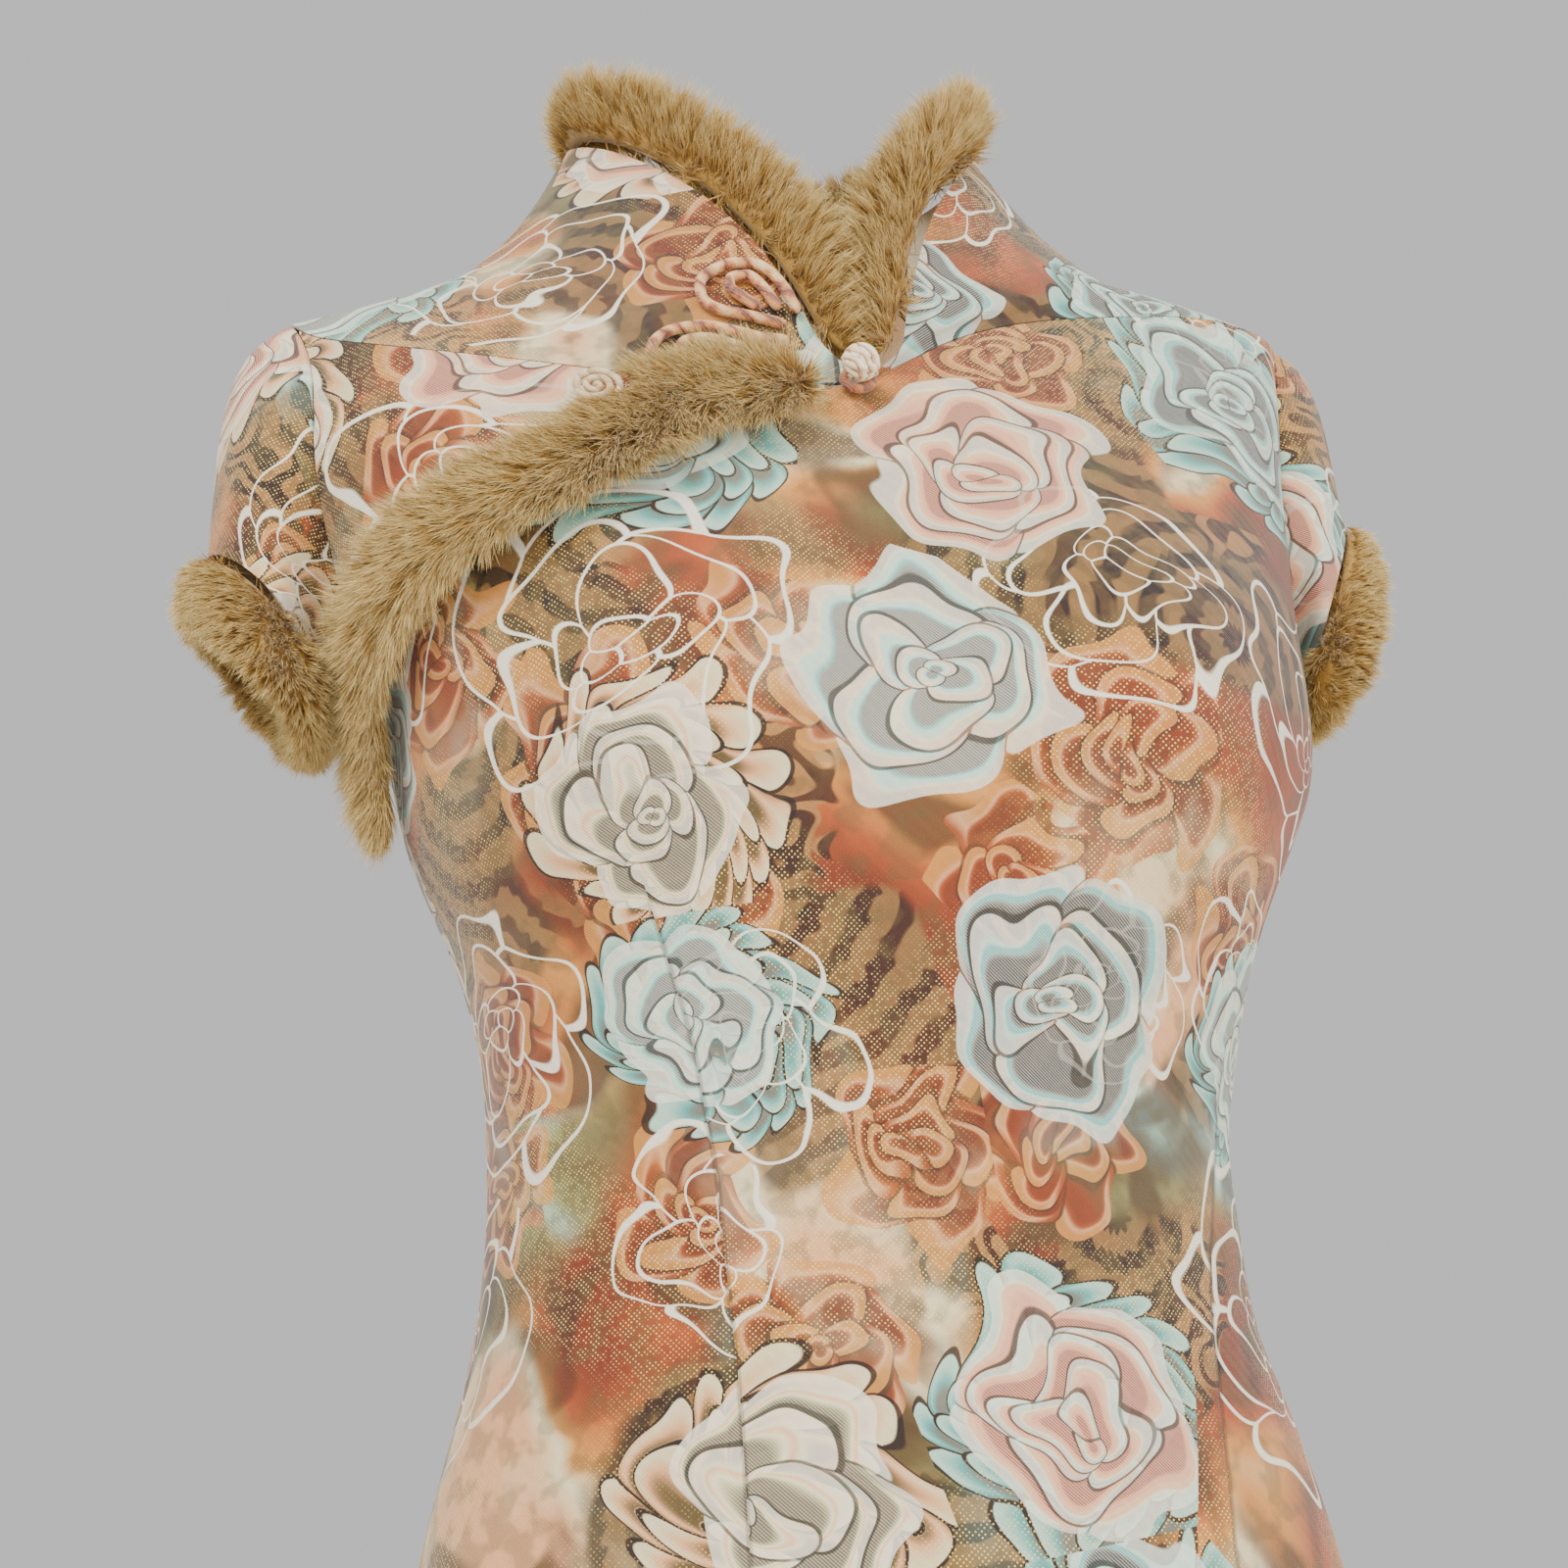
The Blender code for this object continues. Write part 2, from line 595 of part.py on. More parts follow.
def add_mesh(name, vertices, faces, look):
    """Make an object of vertices and faces, with its faces turned outward."""
    mesh = bpy.data.meshes.new(name)
    mesh.from_pydata([tuple(v) for v in vertices], [], faces)
    work = bmesh.new()
    work.from_mesh(mesh)
    bmesh.ops.recalc_face_normals(work, faces=work.faces)
    work.to_mesh(mesh)
    work.free()
    mesh.shade_smooth()
    mesh.set_sharp_from_angle(angle=np.radians(CREASE_ANGLE))
    return add_object(name, mesh, look)


def add_cloth(piece):
    """Make a piece of cloth: outer face, inner face and the edges between them."""
    outer = draw_back(piece["points"], piece["wrap"])
    inner = draw_back(piece["points"] - piece["walls"], piece["wrap"])
    columns, rows = outer.shape[:2]
    layer = columns * rows
    vertices = np.concatenate([outer.reshape(-1, 3), inner.reshape(-1, 3)])
    spans = columns if piece["wrap"] else columns - 1
    faces = []
    for i in range(spans):
        j = (i + 1) % columns
        for row in range(rows - 1):
            a, b, c, d = i * rows + row, j * rows + row, j * rows + row + 1, i * rows + row + 1
            faces.append((a, b, c, d))
            faces.append((layer + d, layer + c, layer + b, layer + a))
        for row in (0, rows - 1):
            a, b = i * rows + row, j * rows + row
            faces.append((a, b, layer + b, layer + a) if row else (b, a, layer + a, layer + b))
    if not piece["wrap"]:
        for column in (0, columns - 1):
            for row in range(rows - 1):
                a, b = column * rows + row, column * rows + row + 1
                faces.append((a, b, layer + b, layer + a) if column == 0 else
                             (b, a, layer + a, layer + b))
    return add_mesh(piece["name"], vertices, faces, CLOTH)


def cloth_pieces():
    """All pieces of cloth, as grids of points with their outward directions."""
    pieces = []
    for name, places in (("front_main", front_main_places()),
                         ("front_right", front_right_places()),
                         ("back", back_places())):
        angle, z = places[..., 0], places[..., 1]
        pieces.append({"name": name, "points": body(angle, z), "wrap": False,
                       "normals": body_normal(angle, z)})
    yoke = collar_yoke_points()
    pieces.append({"name": "collar_yoke", "points": yoke, "wrap": False,
                   "normals": grid_normals(yoke, False, False)})
    for name, hem in SLEEVE_HEM.items():
        points = sleeve_points(hem)
        pieces.append({"name": "sleeve_" + name, "points": points, "wrap": True,
                       "normals": grid_normals(points, True, hem["side"] > 0)})
    for piece in pieces:
        mask = edge_mask(piece["points"], piece["wrap"])
        piece["edge_points"] = piece["points"][mask]
        piece["edge_normals"] = piece["normals"][mask]
    joined_walls(pieces)
    return pieces


def refine(points, steps):
    """Run a smooth curve through a row of points and cut it into even steps."""
    knots = np.arange(len(points), dtype=float)
    table = np.column_stack([knots, points])
    dense = np.linspace(0.0, knots[-1], 40 * len(points))
    curve = np.stack([smooth(table, dense, column) for column in range(1, table.shape[1])], axis=-1)
    run = np.concatenate([[0.0], np.cumsum(np.linalg.norm(np.diff(curve[:, :3], axis=0), axis=-1))])
    even = np.linspace(0.0, run[-1], steps + 1)
    return np.stack([np.interp(even, run, curve[:, k]) for k in range(curve.shape[1])], axis=-1)


def add_fur(name, centres, across, above, widths, thick, closed):
    """A strip of fur as a solid: an oval section carried along its centre line."""
    count = len(centres)
    sections = []
    for i in range(count):
        grow = 1.0
        if not closed:
            grow = FUR_ROUND_END[min(i, count - 1 - i, len(FUR_ROUND_END) - 1)]
        if grow == 0.0:
            sections.append(centres[i][None])
            continue
        turn = np.linspace(0.0, 2 * np.pi, FUR_SIDES, endpoint=False)
        sections.append(centres[i] + 0.5 * grow * (
            widths[i] * np.cos(turn)[:, None] * across[i]
            + thick * np.sin(turn)[:, None] * above[i]))
    vertices = np.concatenate(sections)
    starts = np.cumsum([0] + [len(section) for section in sections])
    faces = []
    for i in range(count if closed else count - 1):
        k = (i + 1) % count
        here, there = len(sections[i]), len(sections[k])
        for side in range(FUR_SIDES):
            after = (side + 1) % FUR_SIDES
            if here == 1:
                faces.append((starts[i], starts[k] + after, starts[k] + side))
            elif there == 1:
                faces.append((starts[i] + side, starts[i] + after, starts[k]))
            else:
                faces.append((starts[i] + side, starts[i] + after, starts[k] + after,
                              starts[k] + side))
    faces = [tuple(int(index) for index in face) for face in faces]
    return add_mesh(name, vertices, faces, FUR)


def add_opening_fur():
    """The fur along the opening and down the top of the side seam."""
    surface = body(OPENING_FUR[:, 0], OPENING_FUR[:, 1])
    rows = refine(np.column_stack([surface, OPENING_FUR]), OPENING_FUR_STEPS)
    centres, angle, z, widths = rows[:, :3], rows[:, 3], rows[:, 4], rows[:, 5]
    above = body_normal(angle, z)
    centres = body(angle, z)
    along = unit(np.gradient(centres, axis=0))
    across = unit(np.cross(above, along))
    lift = OPENING_FUR_LIFT + OPENING_FUR_THICK / 2
    add_fur("fur_opening", centres + above * lift, across, above, widths, OPENING_FUR_THICK, False)


def add_collar_fur():
    """The fur on the collar's edge: round the neck, its two ends side by side at the front."""
    left = np.linspace(COLLAR_FUR_TURN["first"], 180.0, COLLAR_FUR_STEPS + 1)
    angle = np.concatenate([left, 360.0 - left[-2::-1]])
    edge = collar_edge(angle)
    inner = np.array([COLLAR_SHIFT, 0.0, 0.0])
    rise = unit(np.gradient(edge, axis=0))
    outward = unit((edge - inner) * np.array([1.0, 1.0, 0.0]))
    upward = unit(np.cross(rise, outward))
    upward = upward * np.sign(upward[:, 2:3])
    room = np.abs(edge[:, 0] - COLLAR_SHIFT) - COLLAR_FUR_MIDDLE_GAP
    from_front = np.minimum(angle, 360.0 - angle)
    width = np.where(from_front < COLLAR_FUR_TURN["narrow_until"],
                     np.minimum(COLLAR_FUR["width"], room), COLLAR_FUR["width"])
    to_middle = np.stack([-np.sign(edge[:, 0] - COLLAR_SHIFT), 0 * room, 0 * room], axis=-1)
    blend = (from_front - COLLAR_FUR_TURN["start"]) / COLLAR_FUR_TURN["span"]
    blend = np.clip(blend, 0.0, 1.0)[:, None]
    across = unit(upward * blend + to_middle * (1 - blend))
    above = unit(np.cross(rise, across))
    facing = outward + np.array([0.0, COLLAR_FUR_FORWARD, 0.0])
    above = above * np.sign(np.sum(above * facing, axis=-1, keepdims=True))
    centres = (edge + across * (COLLAR_FUR["gap"] + width[:, None] / 2)
               - outward * COLLAR_FUR["set_in"] * blend)
    add_fur("fur_collar", centres, across, above, width, COLLAR_FUR["thick"], False)


def add_cuff_fur(name, hem):
    """The fur that hangs below a sleeve's hem."""
    turn = np.linspace(0.0, 360.0, CUFF_FUR_STEPS, endpoint=False)
    edge = sleeve_hem(hem, turn)
    down = np.tile(hang(hem["side"]), (len(turn), 1))
    along = unit(np.roll(edge, -1, axis=0) - np.roll(edge, 1, axis=0))
    across = unit(down - CUFF_TURN * np.sum(down * along, axis=-1, keepdims=True) * along)
    above = unit(np.cross(along, across))
    widths = np.full(len(turn), CUFF_FUR["width"])
    centres = edge + across * (FUR_GAP + CUFF_FUR["width"] / 2)
    add_fur("fur_cuff_" + name, centres, across, above, widths, CUFF_FUR["thick"], True)


def surface_finder(objects):
    """A function that gives the cloth's outer face straight behind a point seen from the front."""
    vertices, faces = [], []
    for made in objects:
        base = len(vertices)
        vertices.extend(vertex.co.copy() for vertex in made.data.vertices)
        faces.extend([base + index for index in face.vertices] for face in made.data.polygons)
    tree = BVHTree.FromPolygons(vertices, faces)

    def find(x, z):
        hit, normal, _, _ = tree.ray_cast(Vector((x, -0.5, z)), Vector((0.0, 1.0, 0.0)))
        return np.array(hit), np.array(normal)

    return find


def add_cord(name, points, radius, steps, sides, look):
    """A covered cord: a round tube along a smooth line, with domed ends."""
    line = refine(points, steps)
    along = unit(np.gradient(line, axis=0))
    side = unit(np.cross(along, np.array([0.0, 1.0, 0.0])))
    out = unit(np.cross(side, along))
    turn = np.linspace(0.0, 2 * np.pi, sides, endpoint=False)
    ring = np.cos(turn)[:, None, None] * side + np.sin(turn)[:, None, None] * out
    tube = line + radius * ring
    vertices = np.concatenate([tube.transpose(1, 0, 2).reshape(-1, 3), line[:1] - along[:1] * radius,
                               line[-1:] + along[-1:] * radius])
    count = len(line)
    faces = []
    for i in range(count - 1):
        for k in range(sides):
            after = (k + 1) % sides
            faces.append((i * sides + k, i * sides + after, (i + 1) * sides + after,
                          (i + 1) * sides + k))
    for k in range(sides):
        after = (k + 1) % sides
        faces.append((k, after, count * sides))
        faces.append(((count - 1) * sides + k, (count - 1) * sides + after, count * sides + 1))
    return add_mesh(name, vertices, faces, look)


def add_frog(find):
    """The frog's loops, laid on the yoke."""
    for name, route in FROG.items():
        points = []
        for x, z in route:
            hit, normal = find(x, z)
            points.append(hit + normal * (CORD_RADIUS + CORD_LIFT))
        add_cord(name, np.array(points), CORD_RADIUS, 3 * (len(points) - 1), CORD_SIDES, CORD)


def add_coil(find):
    """The flat coil of cord at the far end of the frog."""
    hit, normal = find(COIL["x"], COIL["z"])
    right = unit(np.cross(np.array([0.0, 0.0, 1.0]), normal)) * -1.0
    up = unit(np.cross(right, normal))
    turn = np.linspace(COIL["start"], 2 * np.pi * COIL["turns"], COIL["steps"])
    radius = COIL["pitch"] * turn / (2 * np.pi)
    points = (hit + normal * (COIL["cord"] + COIL["lift"])
              + (radius * np.cos(turn))[:, None] * right + (radius * np.sin(turn))[:, None] * up)
    add_cord("frog_coil", points, COIL["cord"], COIL["steps"], CORD_SIDES, CORD)


def add_knot(find):
    """The knotted ball that closes the neck, and the cord ring round its foot."""
    hit, normal = find(KNOT["x"], KNOT["z"])
    ring_centre = hit + normal * (KNOT_RING["cord"] + KNOT_LIFT)
    mesh = bpy.data.meshes.new("knot_button")
    work = bmesh.new()
    bmesh.ops.create_uvsphere(work, u_segments=16, v_segments=10, radius=KNOT["radius"])
    work.to_mesh(mesh)
    work.free()
    mesh.shade_smooth()
    knot = add_object("knot_button", mesh, CORD)
    rise = 2 * KNOT_RING["cord"] + KNOT["radius"] * KNOT["seat"]
    knot.location = hit + normal * (rise + KNOT_LIFT + KNOT["gap"])
    turn = np.linspace(0.0, 2 * np.pi, KNOT_RING["steps"], endpoint=False)
    right = unit(np.cross(np.array([0.0, 0.0, 1.0]), normal))
    up = unit(np.cross(normal, right))
    centres = (ring_centre + KNOT_RING["radius"] * (np.cos(turn)[:, None] * right
                                                    + np.sin(turn)[:, None] * up))
    out = unit(centres - ring_centre)
    above = np.tile(normal, (len(turn), 1))
    widths = np.full(len(turn), 2 * KNOT_RING["cord"])
    ring = add_fur("frog_ring", centres, out, above, widths, 2 * KNOT_RING["cord"], True)
    ring.data.materials[0] = material(CORD)


def main():
    for old in list(bpy.data.objects):
        bpy.data.objects.remove(old)
    made = {piece["name"]: add_cloth(piece) for piece in cloth_pieces()}
    add_opening_fur()
    add_collar_fur()
    for name, hem in SLEEVE_HEM.items():
        add_cuff_fur(name, hem)
    find = surface_finder([made["collar_yoke"], made["front_right"], made["front_main"]])
    add_frog(find)
    add_coil(find)
    add_knot(find)


main()
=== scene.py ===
# %% [markdown]
# A cheongsam is cut from a handful of panels that follow the body closely. Here each panel starts
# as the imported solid, so the cloth keeps its true place, and is then rounded, creased and printed.
# The print is a free design of roses in the colours and scale of a printed jacquard.

# %% Load the frame and clear the selection
import math
from functools import partialmethod

import bpy
import numpy as np
from mathutils import Matrix, Vector
from mathutils.kdtree import KDTree


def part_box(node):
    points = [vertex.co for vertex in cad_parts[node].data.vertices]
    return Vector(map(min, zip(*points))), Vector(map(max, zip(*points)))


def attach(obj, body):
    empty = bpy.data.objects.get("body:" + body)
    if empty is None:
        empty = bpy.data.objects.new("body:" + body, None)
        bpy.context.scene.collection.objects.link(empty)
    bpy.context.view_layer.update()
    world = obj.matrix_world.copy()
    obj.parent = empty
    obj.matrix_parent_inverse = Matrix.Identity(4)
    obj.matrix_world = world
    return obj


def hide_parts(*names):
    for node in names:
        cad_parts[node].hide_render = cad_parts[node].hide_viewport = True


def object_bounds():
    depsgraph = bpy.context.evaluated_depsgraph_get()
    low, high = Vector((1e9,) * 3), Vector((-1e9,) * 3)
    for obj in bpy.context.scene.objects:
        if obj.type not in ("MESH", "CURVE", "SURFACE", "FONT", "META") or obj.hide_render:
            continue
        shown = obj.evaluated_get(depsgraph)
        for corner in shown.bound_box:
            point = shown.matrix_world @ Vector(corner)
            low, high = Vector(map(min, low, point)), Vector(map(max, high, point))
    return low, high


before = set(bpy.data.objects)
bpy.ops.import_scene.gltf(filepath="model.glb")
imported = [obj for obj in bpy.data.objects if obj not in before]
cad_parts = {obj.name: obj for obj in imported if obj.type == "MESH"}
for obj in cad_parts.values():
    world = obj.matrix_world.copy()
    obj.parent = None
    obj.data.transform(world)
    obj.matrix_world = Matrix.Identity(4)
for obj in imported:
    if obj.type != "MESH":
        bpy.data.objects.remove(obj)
cad_low, cad_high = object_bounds()
bpy.ops.object.select_all(action="DESELECT")
print("the solids reach from", tuple(cad_low), "to", tuple(cad_high))

# %% [markdown]
# The photograph was taken from just below chest height, looking up, with a normal lens. The camera
# is placed first, so that every later step can be judged in the picture.

# %% Camera
CAMERA_PLACE = (-0.1985, -0.8451, -0.5400)
CAMERA_RIGHT = (0.9816, -0.1724, -0.0822)
CAMERA_UP = (0.0090, -0.3881, 0.9215)
CAMERA_BACK = (-0.1908, -0.9053, -0.3795)
LENS_MM = 60.0
SENSOR_MM = 36.0
NEAREST_SEEN = 0.01


def link_object(name, data):
    """Put a new object into the scene."""
    made = bpy.data.objects.new(name, data)
    bpy.context.scene.collection.objects.link(made)
    return made


def place_camera():
    """Put the camera where the photograph was taken from."""
    axes = np.array([CAMERA_RIGHT, CAMERA_UP, CAMERA_BACK]).T
    rows = [list(axes[k]) + [CAMERA_PLACE[k]] for k in range(3)]
    lens = bpy.data.cameras.new("camera")
    lens.lens = LENS_MM
    lens.sensor_width = SENSOR_MM
    lens.sensor_fit = "HORIZONTAL"
    lens.clip_start = NEAREST_SEEN
    camera = link_object("camera", lens)
    camera.matrix_world = Matrix(rows + [[0.0, 0.0, 0.0, 1.0]])
    bpy.context.scene.camera = camera


place_camera()
print("camera at", CAMERA_PLACE)

# %% [markdown]
# Photographs of clothes look best under large, soft lights. One broad lamp stands at the front
# left, a weaker one fills from the right, a third lifts the front, one from behind lights the edge
# of the fur, and a pale world fills the rest.

# %% Lights, world and floor
LIGHTS = {
    "key": {"place": (-1.1, -1.6, 1.1), "size": 1.3, "watts": 62.0},
    "fill": {"place": (1.7, -1.2, 0.1), "size": 1.8, "watts": 30.0},
    "front": {"place": (0.1, -2.0, -0.5), "size": 1.6, "watts": 22.0},
    "edge": {"place": (0.5, 1.5, 1.0), "size": 1.2, "watts": 30.0},
}
LIGHT_TARGET = Vector((0.0, 0.0, -0.20))
WORLD_COLOUR = (0.86, 0.86, 0.87, 1.0)
WORLD_STRENGTH = 0.78
FLOOR_DROP = 0.012
FLOOR_SIZE = 8.0
FLOOR_COLOUR = (0.80, 0.79, 0.77, 1.0)
FLOOR_ROUGHNESS = 0.8


def add_light(name, place, size, watts):
    """Add a square lamp that faces the dress."""
    lamp = bpy.data.lights.new(name, "AREA")
    lamp.size = size
    lamp.energy = watts
    light = link_object(name, lamp)
    light.location = place
    aim = LIGHT_TARGET - Vector(place)
    light.rotation_euler = aim.to_track_quat("-Z", "Y").to_euler()


def set_inputs(node, values):
    """Set some of a node's inputs to plain values."""
    for name, value in values.items():
        node.inputs[name].default_value = value


for light_name, facts in LIGHTS.items():
    add_light(light_name, **facts)

world = bpy.data.worlds.new("studio")
bpy.context.scene.world = world
world.use_nodes = True
set_inputs(world.node_tree.nodes["Background"],
           {"Color": WORLD_COLOUR, "Strength": WORLD_STRENGTH})

bpy.ops.mesh.primitive_plane_add(size=FLOOR_SIZE, location=(0.0, 0.0, cad_low.z - FLOOR_DROP))
floor = bpy.context.object
floor.name = "floor"
bpy.ops.object.transform_apply(location=True, rotation=True, scale=True)
floor_paint = bpy.data.materials.new("floor paint")
floor_paint.use_nodes = True
set_inputs(floor_paint.node_tree.nodes["Principled BSDF"],
           {"Base Color": FLOOR_COLOUR, "Roughness": FLOOR_ROUGHNESS})
floor.data.materials.append(floor_paint)
floor.select_set(False)
print(len(LIGHTS), "lamps and a floor at", round(cad_low.z - FLOOR_DROP, 3))

# %% [markdown]
# A node tree is easier to write when each step is one short call. The helper below adds a node,
# joins its inputs and hands back its output, so that a formula reads almost as on paper. Colours
# are given as a picture shows them and made deeper, because bright light washes them out.

# %% A helper for writing node trees
COLOUR_DEPTH = 1.40


def colour(red, green, blue):
    """Turn a colour as a picture shows it into the deeper one that bright light brings back."""
    levels = [level / 255.0 for level in (red, green, blue)]
    linear = [v / 12.92 if v <= 0.04045 else ((v + 0.055) / 1.055) ** 2.4 for v in levels]
    return (*[v ** COLOUR_DEPTH for v in linear], 1.0)


class Draft:
    """Writes a node tree step by step."""

    def __init__(self, tree):
        self.tree = tree

    def join(self, value, socket):
        """Join an output to a socket, or set the socket to a plain value."""
        if isinstance(value, bpy.types.NodeSocket):
            self.tree.links.new(value, socket)
        else:
            socket.default_value = value

    def node(self, kind, **settings):
        """Add a node and set its properties."""
        made = self.tree.nodes.new(kind)
        for name, value in settings.items():
            setattr(made, name, value)
        return made

    def fill(self, made, *values):
        """Join values to a node's first inputs, and give its first output."""
        for value, socket in zip(values, made.inputs):
            self.join(value, socket)
        return made.outputs[0]

    def math(self, operation, *values, clamp=False):
        """One step of arithmetic on numbers."""
        made = self.node("ShaderNodeMath", operation=operation, use_clamp=clamp)
        return self.fill(made, *values)

    times = partialmethod(math, "MULTIPLY")
    times_plus = partialmethod(math, "MULTIPLY_ADD")
    plus = partialmethod(math, "ADD")
    minus = partialmethod(math, "SUBTRACT")
    above = partialmethod(math, "GREATER_THAN")
    larger = partialmethod(math, "MAXIMUM")
    sine = partialmethod(math, "SINE")

    def vector(self, operation, *values, output="Vector"):
        """One step of arithmetic on vectors."""
        made = self.node("ShaderNodeVectorMath", operation=operation)
        self.fill(made, *values)
        return made.outputs[output]

    def scaled(self, vector, scale):
        """A vector times a number."""
        made = self.node("ShaderNodeVectorMath", operation="SCALE")
        self.join(vector, made.inputs[0])
        self.join(scale, made.inputs["Scale"])
        return made.outputs["Vector"]

    def beside(self, place, x, y):
        """A place moved aside, so that two patterns don't fall on each other."""
        return self.vector("ADD", place, (x, y, 0.0))

    def step(self, value, start, end, low=0.0, high=1.0):
        """A soft step from low to high while the value goes from start to end."""
        made = self.node("ShaderNodeMapRange", interpolation_type="SMOOTHSTEP")
        return self.fill(made, value, start, end, low, high)

    def mix(self, share, first, second):
        """Blend two numbers."""
        made = self.node("ShaderNodeMix", data_type="FLOAT", clamp_factor=True)
        self.join(share, made.inputs[0])
        self.join(first, made.inputs[2])
        self.join(second, made.inputs[3])
        return made.outputs[0]

    def paint(self, share, first, second):
        """Blend two colours."""
        made = self.node("ShaderNodeMix", data_type="RGBA", clamp_factor=True)
        self.join(share, made.inputs[0])
        self.join(first, made.inputs[6])
        self.join(second, made.inputs[7])
        return made.outputs[2]

    def noise(self, place, scale, detail, output="Fac", flat=True):
        """Cloudy noise."""
        made = self.node("ShaderNodeTexNoise", noise_dimensions="2D" if flat else "3D")
        self.join(place, made.inputs["Vector"])
        set_inputs(made, {"Scale": scale, "Detail": detail})
        return made.outputs[output]

    def warped(self, place, read_at, scale, detail, reach):
        """A place that cloudy noise pushes about."""
        drift = self.noise(read_at, scale, detail, output="Color")
        drift = self.vector("SUBTRACT", drift, (0.5, 0.5, 0.5))
        return self.vector("ADD", place, self.scaled(drift, reach))

    def ramp(self, value, stops):
        """Read a row of colours at a value."""
        made = self.node("ShaderNodeValToRGB")
        points = made.color_ramp.elements
        while len(points) < len(stops):
            points.new(0.5)
        for point, (place, tint) in zip(points, stops):
            point.position = place
            point.color = tint
        self.join(value, made.inputs["Fac"])
        return made.outputs["Color"]

    def parts(self, vector):
        """The three numbers of a vector."""
        made = self.node("ShaderNodeSeparateXYZ")
        self.join(vector, made.inputs[0])
        return made.outputs[0], made.outputs[1], made.outputs[2]

    def whole(self, x, y):
        """A flat vector of two numbers."""
        return self.fill(self.node("ShaderNodeCombineXYZ"), x, y, 0.0)

    def attribute(self, name):
        """Read a named attribute as a number."""
        return self.node("ShaderNodeAttribute", attribute_name=name).outputs["Fac"]

    def relief(self, height, strength, distance):
        """Raised and sunken places that catch the light."""
        made = self.node("ShaderNodeBump")
        set_inputs(made, {"Strength": strength, "Distance": distance})
        self.join(height, made.inputs["Height"])
        return made.outputs[0]

    def place(self, group, **inputs):
        """Place a node group, join its inputs by name and give its outputs."""
        made = self.node("ShaderNodeGroup", node_tree=group)
        for name, value in inputs.items():
            self.join(value, made.inputs[name])
        return made.outputs


def new_group(name, inputs, outputs):
    """Start a node group with named sockets; gives the group, its inputs, outputs and a draft."""
    group = bpy.data.node_groups.new(name, "ShaderNodeTree")
    for socket, kind in inputs.items():
        group.interface.new_socket(socket, in_out="INPUT", socket_type="NodeSocket" + kind)
    for socket, kind in outputs.items():
        group.interface.new_socket(socket, in_out="OUTPUT", socket_type="NodeSocket" + kind)
    start = group.nodes.new("NodeGroupInput")
    end = group.nodes.new("NodeGroupOutput")
    return group, start.outputs, end.inputs, Draft(group)


def new_material(name):
    """Start a material; gives the material, its shader and a draft."""
    made = bpy.data.materials.new(name)
    made.use_nodes = True
    return made, made.node_tree.nodes["Principled BSDF"], Draft(made.node_tree)


print("white comes out as", colour(255, 255, 255), "and middle grey as", colour(128, 128, 128))

# %% [markdown]
# A rose seen from the front is rings of petals, each ring smaller and a little off the middle.
# Working from the outer ring inward, every ring covers the one before. A petal's outline dips at
# its sides, its rim is pale, and it darkens toward its foot, where the next ring lies on it.

# %% The rose, as a node group
ROSE_RINGS = (
    {"size": 1.00, "petals": 4, "dip": 0.16, "turn": 0.10},
    {"size": 0.77, "petals": 3, "dip": 0.26, "turn": 0.43},
    {"size": 0.56, "petals": 3, "dip": 0.40, "turn": 0.12},
    {"size": 0.38, "petals": 2, "dip": 0.46, "turn": 0.63},
    {"size": 0.20, "petals": 2, "dip": 0.44, "turn": 0.25},
)
SMALL_ROSE_RINGS = (
    {"size": 1.00, "petals": 5, "dip": 0.22, "turn": 0.30},
    {"size": 0.70, "petals": 4, "dip": 0.32, "turn": 0.83},
    {"size": 0.44, "petals": 3, "dip": 0.40, "turn": 0.52},
    {"size": 0.22, "petals": 2, "dip": 0.40, "turn": 0.13},
)
LINE_ROSE_RINGS = (
    {"size": 1.00, "petals": 5, "dip": 0.17, "turn": 0.30},
    {"size": 0.72, "petals": 4, "dip": 0.30, "turn": 0.05},
    {"size": 0.44, "petals": 4, "dip": 0.34, "turn": 0.55},
    {"size": 0.24, "petals": 3, "dip": 0.30, "turn": 0.20},
)
FRILL_RINGS = (
    {"size": 1.00, "petals": 15, "dip": 0.13, "turn": 0.10},
    {"size": 0.80, "petals": 13, "dip": 0.17, "turn": 0.43},
    {"size": 0.58, "petals": 10, "dip": 0.22, "turn": 0.12},
    {"size": 0.34, "petals": 7, "dip": 0.30, "turn": 0.63},
)
ROSE_WARP = 0.48
WARP_SCALE = 1.6
PETAL_SWIRL = 0.035
SEED_TURN = 0.37
HEART_SHIFT = (0.02, 0.16, 0.0)


def draw_petals(draft, far, round_share, ring, line_width, outlined):
    """One ring of petals: its masks, how deep inside it a place is, and its lines' width."""
    turned = draft.times_plus(round_share, float(ring["petals"]), ring["turn"])
    across = draft.times_plus(draft.math("FRACT", turned), 2.0, -1.0)
    fall = draft.times(across, across)
    reach = draft.times_plus(fall, -ring["dip"] * ring["size"], ring["size"])
    depth = draft.minus(reach, far)
    inside = draft.step(depth, -0.004, 0.004)
    width = line_width * (0.30 + 0.70 * ring["size"])
    rim = draft.step(depth, width * 1.9, width * 3.3, 1.0, 0.0)
    beside = draft.times(draft.minus(1.0, fall), far)
    narrow = width * 2.0 * ring["petals"] / math.pi
    line = draft.step(beside, narrow * 0.30, narrow * 0.65, 1.0, 0.0)
    if outlined:
        line = draft.larger(draft.step(depth, width * 0.9, width * 1.3, 1.0, 0.0), line)
    foot = draft.step(depth, width * 1.5, 0.10 + 0.12 * ring["size"])
    tuck = draft.step(across, 0.30, 1.0, 0.0, 0.85)
    masks = {"Inside": inside, "Rim": rim, "Line": line, "Shade": draft.larger(foot, tuck)}
    return masks, depth, width


